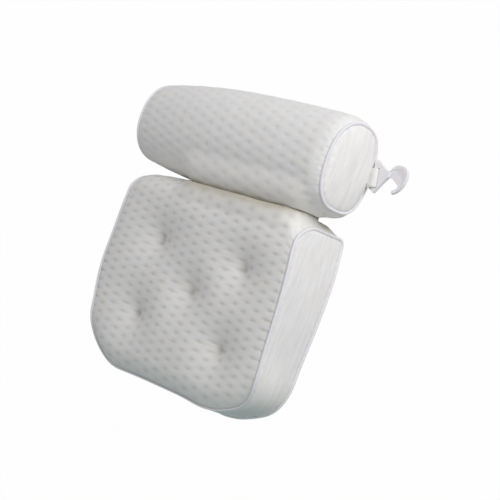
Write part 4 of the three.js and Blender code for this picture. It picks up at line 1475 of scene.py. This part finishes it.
# Hinge strip, sewn flat on both backs, with a soft crease between them
strip = {
    "width": 200,
    "ends": (234, 321.5),
    "rows": 61,
    "columns": 51,
    "under": 11.7,
    "thickness": 2.0,
    "crease": 0.7,
    "creaseReach": 5,
    "ripple": 0.15,
    "rippleLengths": (9, 13),
    "hem": 0.5,
    "hemReach": 3,
    "bendFrom": -0.005,
    "bendTo": 0.0135,
    "stitchSides": 6,
    "stitchLength": 3.2,
    "stitchRadius": 0.42,
    "stitchRounding": 0.6,
    "stitchSharpAngle": 60,
    "stitchPitch": 4.6,
    "stitchInset": 4,
    "sliver": 0.01,
}


def makeStrip():
    half = strip["width"] / 2
    y = np.linspace(*strip["ends"], strip["rows"])
    across, up = np.meshgrid(np.linspace(half, -half, strip["columns"]), y)
    lengthX, lengthY = strip["rippleLengths"]
    sag = strip["crease"] * bell(up - foldHeight, strip["creaseReach"])
    sag = sag + strip["ripple"] * np.sin(across / lengthX + up / lengthY)
    hem = strip["hem"] * smoothStep(np.abs(across), half - strip["hemReach"], half)
    outer = place(np.stack([across, up, strip["under"] - sag + hem], axis=-1))
    inner = place(np.stack([across, up, strip["under"] + strip["thickness"] - sag - hem], axis=-1))
    piece = shell("hingeStrip", outer, inner, (1, 1), finishes["hinge_fabric"])
    flat = np.stack([up, across], axis=-1)
    setCloth(piece, flat, flat)
    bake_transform(piece)
    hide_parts("hinge_flap_backrest", "hinge_flap_roll")
    makeStitches()


def makeStitches():
    bpy.ops.object.select_all(action="DESELECT")
    bpy.ops.mesh.primitive_cylinder_add(
        vertices=strip["stitchSides"], radius=strip["stitchRadius"] * mm, depth=strip["stitchLength"] * mm,
        location=(0, 0, 0))
    master = startEdit("stitchMaster")
    bpy.ops.transform.rotate(value=quarterTurn, orient_axis="Y", center_override=(0, 0, 0))
    ends = (strip["stitchLength"] / 2 - strip["sliver"]) * mm
    selectPlaces(master, "EDGE", lambda spot: abs(spot.x) > ends)
    rounding = strip["stitchRadius"] * strip["stitchRounding"] * mm
    bpy.ops.mesh.bevel(offset=rounding, segments=2, affect="EDGES")
    endEdit()
    smoothed(master, strip["stitchSharpAngle"], finishes["thread"])
    count = int((strip["width"] - 2 * strip["stitchInset"]) / strip["stitchPitch"])
    rows = []
    low, high = strip["ends"]
    for body, y in (("backrest", low + strip["stitchInset"]), ("roll", high - strip["stitchInset"])):
        spot = place((0, y, strip["under"]))
        row = rowOfCopies(master, body + "StripStitches", count, strip["stitchPitch"], spot)
        dress(row, body, "thread")
        rows.append(row)
    bpy.data.objects.remove(master)
    return rows


makeStrip()
print("strip sewn")

# Hanging hook: a flat moulding, slotted for its webbing loop
hookBar = Vector(joints["hook_swing"]["pos_m"])
hookAxis = joints["hook_swing"]["axis"]
hookPlace = Matrix.Translation(hookBar) @ Matrix.Rotation(math.atan2(-hookAxis[0], hookAxis[1]), 4, "Z")
hook = {
    "thickness": 5.0,
    "edge": 1.3,
    "edgeSteps": 4,
    "edgeAngle": 50,
    "sharpAngle": 40,
    "back": -2.5,
    "neck": 8.5,
    "half": 21.0,
    "shift": 1.5,
    "corner": 4.0,
    "cornerSteps": 5,
    "wall": 2.0,
    "slotNear": 2.5,
    "slotFar": 5.74,
    "slotHalf": 12.6,
    "slotShift": -1.5,
    "rimShares": (0.25, 0.33, 0.66),
    "webStations": (7, 19),
    "webShare": 0.5,
    "neckSlack": 0.2,
    "cutSlack": 0.05,
    "webSlack": 0.1,
    # the crescent's two edges, as curves from the neck to the tip
    "curveSteps": 5,
    "outer": (
        ((8.5, 15.6), (13, 11.2), (16.5, 6.4), (19.5, 6.4)),
        ((19.5, 6.4), (23.5, 6.4), (26.5, 13), (32, 13)),
        ((32, 13), (39, 13), (48, 9), (48, 0)),
        ((48, 0), (48, -11), (38.5, -21.9), (28.6, -22.8)),
    ),
    "inner": (
        ((8.5, -12), (12.5, -7.9), (15, -5.2), (18.5, -2)),
        ((18.5, -2), (20, -0.8), (22.4, -0.6), (25, -2.7)),
        ((25, -2.7), (28.5, -5.5), (31, -8), (34, -10.7)),
        ((34, -10.7), (38.2, -14.3), (34.5, -17.6), (28.6, -18.6)),
    ),
}


def curvePoints(curves):
    steps = hook["curveSteps"]
    points = [np.array(curves[0][0], float)]
    for curve in curves:
        a, b, c, d = np.array(curve, float)
        for step in range(1, steps + 1):
            t = step / steps
            s = 1 - t
            points.append(a * s ** 3 + 3 * b * s * s * t + 3 * c * s * t * t + d * t ** 3)
    return points


def stepEdge(before, after):
    # extrudes the selected edge from one line across the hook to the next
    move = (after.mean(axis=0) - before.mean(axis=0)) * mm
    middle = (*(after.mean(axis=0) * mm), 0)
    bpy.ops.mesh.extrude_region_move(TRANSFORM_OT_translate={"value": (*move, 0)})
    spanBefore = before[0] - before[1]
    spanAfter = after[0] - after[1]
    turn = math.atan2(spanAfter[1], spanAfter[0]) - math.atan2(spanBefore[1], spanBefore[0])
    bpy.ops.transform.rotate(value=-turn, orient_axis="Z", center_override=middle)
    grow = np.linalg.norm(spanAfter) / np.linalg.norm(spanBefore)
    bpy.ops.transform.resize(value=(grow, grow, 1), center_override=middle)


def atNeck(spot):
    return spot.x > (hook["neck"] - hook["neckSlack"]) * mm


def makeHookBase():
    # a plate with two round corners and a slot
    back, neck, half, wall = hook["back"], hook["neck"], hook["half"], hook["wall"]
    middle = ((back + neck) / 2 * mm, hook["shift"] * mm, 0)
    bpy.ops.object.select_all(action="DESELECT")
    bpy.ops.mesh.primitive_plane_add(size=mm, location=(0, 0, 0))
    piece = startEdit("hangHook")
    bpy.ops.transform.resize(value=(neck - back, 2 * half, 1), center_override=(0, 0, 0))
    bpy.ops.transform.translate(value=middle)
    selectPlaces(piece, "VERT", lambda spot: spot.x < 0)
    bpy.ops.mesh.bevel(offset=hook["corner"] * mm, segments=hook["cornerSteps"], affect="VERTICES")
    bpy.ops.mesh.select_mode(type="FACE")
    bpy.ops.mesh.select_all(action="SELECT")
    bpy.ops.mesh.inset(thickness=wall * mm)
    slotLength = hook["slotFar"] - hook["slotNear"]
    shrink = (slotLength / (neck - back - 2 * wall), hook["slotHalf"] / (half - wall), 1)
    bpy.ops.transform.resize(value=shrink, center_override=middle)
    slotMove = (hook["slotNear"] + hook["slotFar"] - back - neck) / 2
    bpy.ops.transform.translate(value=(slotMove * mm, (hook["slotShift"] - hook["shift"]) * mm, 0))
    bpy.ops.mesh.delete(type="FACE")
    return piece


def makeHook():
    piece = makeHookBase()
    neck = hook["neck"] * mm
    lines = [np.array(pair) for pair in zip(curvePoints(hook["outer"]), curvePoints(hook["inner"]))]
    # the base's last edge narrows to the neck, gets its corners and is drawn out along the crescent
    high, low = lines[0][:, 1]
    selectPlaces(piece, "EDGE", atNeck)
    narrow = (high - low) / (2 * hook["half"])
    bpy.ops.transform.resize(value=(1, narrow, 1), center_override=(neck, hook["shift"] * mm, 0))
    bpy.ops.transform.translate(value=(0, ((high + low) / 2 - hook["shift"]) * mm, 0))
    bpy.ops.mesh.subdivide(number_cuts=len(hook["rimShares"]))
    for cut, share in enumerate(hook["rimShares"], 1):
        was = high + (low - high) * cut / (len(hook["rimShares"]) + 1)
        slack = hook["cutSlack"] * mm
        selectPlaces(piece, "VERT", lambda spot: math.hypot(spot.x - neck, spot.y - was * mm) < slack)
        bpy.ops.transform.translate(value=(0, (high + (low - high) * share - was) * mm, 0))
    selectPlaces(piece, "EDGE", atNeck)
    for before, after in zip(lines[:-1], lines[1:]):
        stepEdge(before, after)
    endEdit()
    applied(piece, "SOLIDIFY", {"thickness": hook["thickness"] * mm, "offset": 0.0})
    # inside its rim the crescent is a thin web
    first, last = hook["webStations"]
    shares = [*hook["rimShares"][1:], 1]
    web = [line[0] + (line[1] - line[0]) * share for line in lines[first:last] for share in shares]
    web = np.array(web) * mm
    bpy.ops.object.mode_set(mode="EDIT")
    selectPlaces(piece, "VERT", lambda spot: np.hypot(*(web - spot.xy).T).min() < hook["webSlack"] * mm)
    bpy.ops.transform.resize(value=(1, 1, hook["webShare"]), center_override=(0, 0, 0))
    endEdit()
    rounding = {"width": hook["edge"] * mm, "segments": hook["edgeSteps"]}
    limit = {"limit_method": "ANGLE", "angle_limit": math.radians(hook["edgeAngle"])}
    applied(piece, "BEVEL", {**rounding, **limit})
    smoothed(piece, hook["sharpAngle"], finishes["hook"])
    applied(piece, "WEIGHTED_NORMAL", {"keep_sharp": True})
    piece.data.transform(hookPlace)
    dress(piece, "hook", "hook", "hang_hook")


makeHook()
print("hook moulded")

# Webbing loop, sewn into the roll's end and folded round the hook's bar
loop = {
    "width": 24,
    "thickness": 1.3,
    "radius": 4.5,
    "spread": 2.6,
    "sewn": -9.0,
    "openEnd": -1.0,
    "shift": -1.5,
    "straightRows": 10,
    "bendSteps": 20,
    "columns": 17,
    "edgeThinner": 0.6,
    "edgePower": 10,
}


def makeLoop():
    reach = np.linspace(loop["sewn"], 0, loop["straightRows"])
    opened = smoothStep(reach, loop["sewn"], loop["openEnd"])
    over = np.stack([reach, loop["spread"] + (loop["radius"] - loop["spread"]) * opened], axis=1)
    bend = arc(0, 0, loop["radius"], quarterTurn, -quarterTurn, loop["bendSteps"])[1:-1]
    under = over[::-1] * np.array([1, -1])
    path = np.concatenate([over, bend, under])
    tangents = unit(np.gradient(path, axis=0))
    outward = np.stack([-tangents[:, 1], tangents[:, 0]], axis=1)
    shares = np.linspace(1, -1, loop["columns"])
    half = loop["thickness"] / 2 * (1 - loop["edgeThinner"] * np.abs(shares) ** loop["edgePower"])
    across = np.tile(shares * loop["width"] / 2, (len(path), 1))
    sides = []
    for side in (1, -1):
        lifted = path[:, None, :] + side * outward[:, None, :] * half[None, :, None]
        points = np.stack([lifted[..., 0], across + loop["shift"], lifted[..., 1]], axis=-1) * mm
        sides.append(points @ np.array(hookPlace.to_3x3()).T + np.array(hookBar))
    piece = shell("hangLoop", *sides, (1, 1), finishes["webbing"])
    run = runAlong(path)
    flat = np.stack([widened(run, len(shares)), across], axis=-1)
    setCloth(piece, flat, flat)
    dress(piece, "roll", "webbing", "hang_loop")


makeLoop()
print("loop folded")

# Studio: a pale floor, a teal card past the foot, a large soft light from the head's right, and an even sky
studio = {
    "floorSize": 12.0,
    "floorColour": (0.6, 0.6, 0.59),
    "floorGlow": 0.985,
    "footColour": (0.46, 0.56, 0.55),
    "footShift": 0.6,
    "footStops": ((0.25, 1.0), (0.55, 0.0)),
    "besideColour": (0.08, 0.075, 0.07),
    "besideShift": 0.3,
    "besideStops": ((0.36, 0.0), (0.46, 1.0)),
    "cardColour": (0.5, 0.62, 0.6),
    "cardSize": (0.8, 0.13),
    "cardPlace": (0.06, -0.27, 0.065),
    "paperRoughness": 0.9,
    "sky": 0.46,
    "skyColour": (1.0, 0.998, 1.045),
    "keyColour": (1.0, 0.998, 1.035),
    "keyPower": 23.0,
    "keyFrom": (0.72, 0.535, 0.445),
    "keyAway": 2.0,
    "keySize": 1.4,
}


def floorFinish():
    made = Finish("studioFloor", studio["floorColour"], studio["paperRoughness"])
    east, north = made.parts(made.objectPlace())
    pastFoot = made.ramp(north + studio["footShift"], studio["footStops"])
    beside = made.ramp(east + studio["besideShift"], studio["besideStops"])
    footTone = made.blendColours(beside, studio["footColour"], studio["besideColour"])
    made.feed("Base Color", made.blendColours(pastFoot, studio["floorColour"], footTone))
    seen = made.node("ShaderNodeLightPath", out="Is Camera Ray")
    for ray in ("Is Glossy Ray", "Is Transmission Ray"):
        seen = made.maths("MAXIMUM", seen, made.node("ShaderNodeLightPath", out=ray))
    paint = Flow(made, made.shader.outputs[0])
    glow = made.node("ShaderNodeEmission")
    made.surface(made.node("ShaderNodeMixShader", inputs={0: seen * studio["floorGlow"], 1: paint, 2: glow}))
    return made.material


def makeStudio():
    bpy.ops.object.select_all(action="DESELECT")
    bpy.ops.mesh.primitive_plane_add(size=studio["floorSize"], location=(0, 0, 0))
    floor = bpy.context.object
    floor.name = "studioFloor"
    floor.data.materials.append(floorFinish())
    # only the cloth sees the card
    bpy.ops.object.select_all(action="DESELECT")
    bpy.ops.mesh.primitive_plane_add(size=1, location=(0, 0, 0))
    card = startEdit("studioCard")
    bpy.ops.transform.resize(value=(*studio["cardSize"], 1), center_override=(0, 0, 0))
    bpy.ops.transform.rotate(value=quarterTurn, orient_axis="X", center_override=(0, 0, 0))
    bpy.ops.transform.translate(value=studio["cardPlace"])
    bpy.ops.object.mode_set(mode="OBJECT")
    card.data.materials.append(Finish("studioCard", studio["cardColour"], studio["paperRoughness"]).material)
    card.visible_camera = False
    world = bpy.data.worlds.new("studioSky")
    world.use_nodes = True
    sky = world.node_tree.nodes["Background"]
    sky.inputs["Color"].default_value = (*studio["skyColour"], 1)
    sky.inputs["Strength"].default_value = studio["sky"]
    scene.world = world
    towards = Vector(studio["keyFrom"]).normalized()
    bpy.ops.object.light_add(type="AREA", location=towards * studio["keyAway"])
    key = bpy.context.object
    key.name = "studioKey"
    key.data.size = studio["keySize"]
    key.data.energy = studio["keyPower"]
    key.data.color = studio["keyColour"]
    key.rotation_euler = towards.to_track_quat("Z", "Y").to_euler()


makeStudio()
print("studio set")
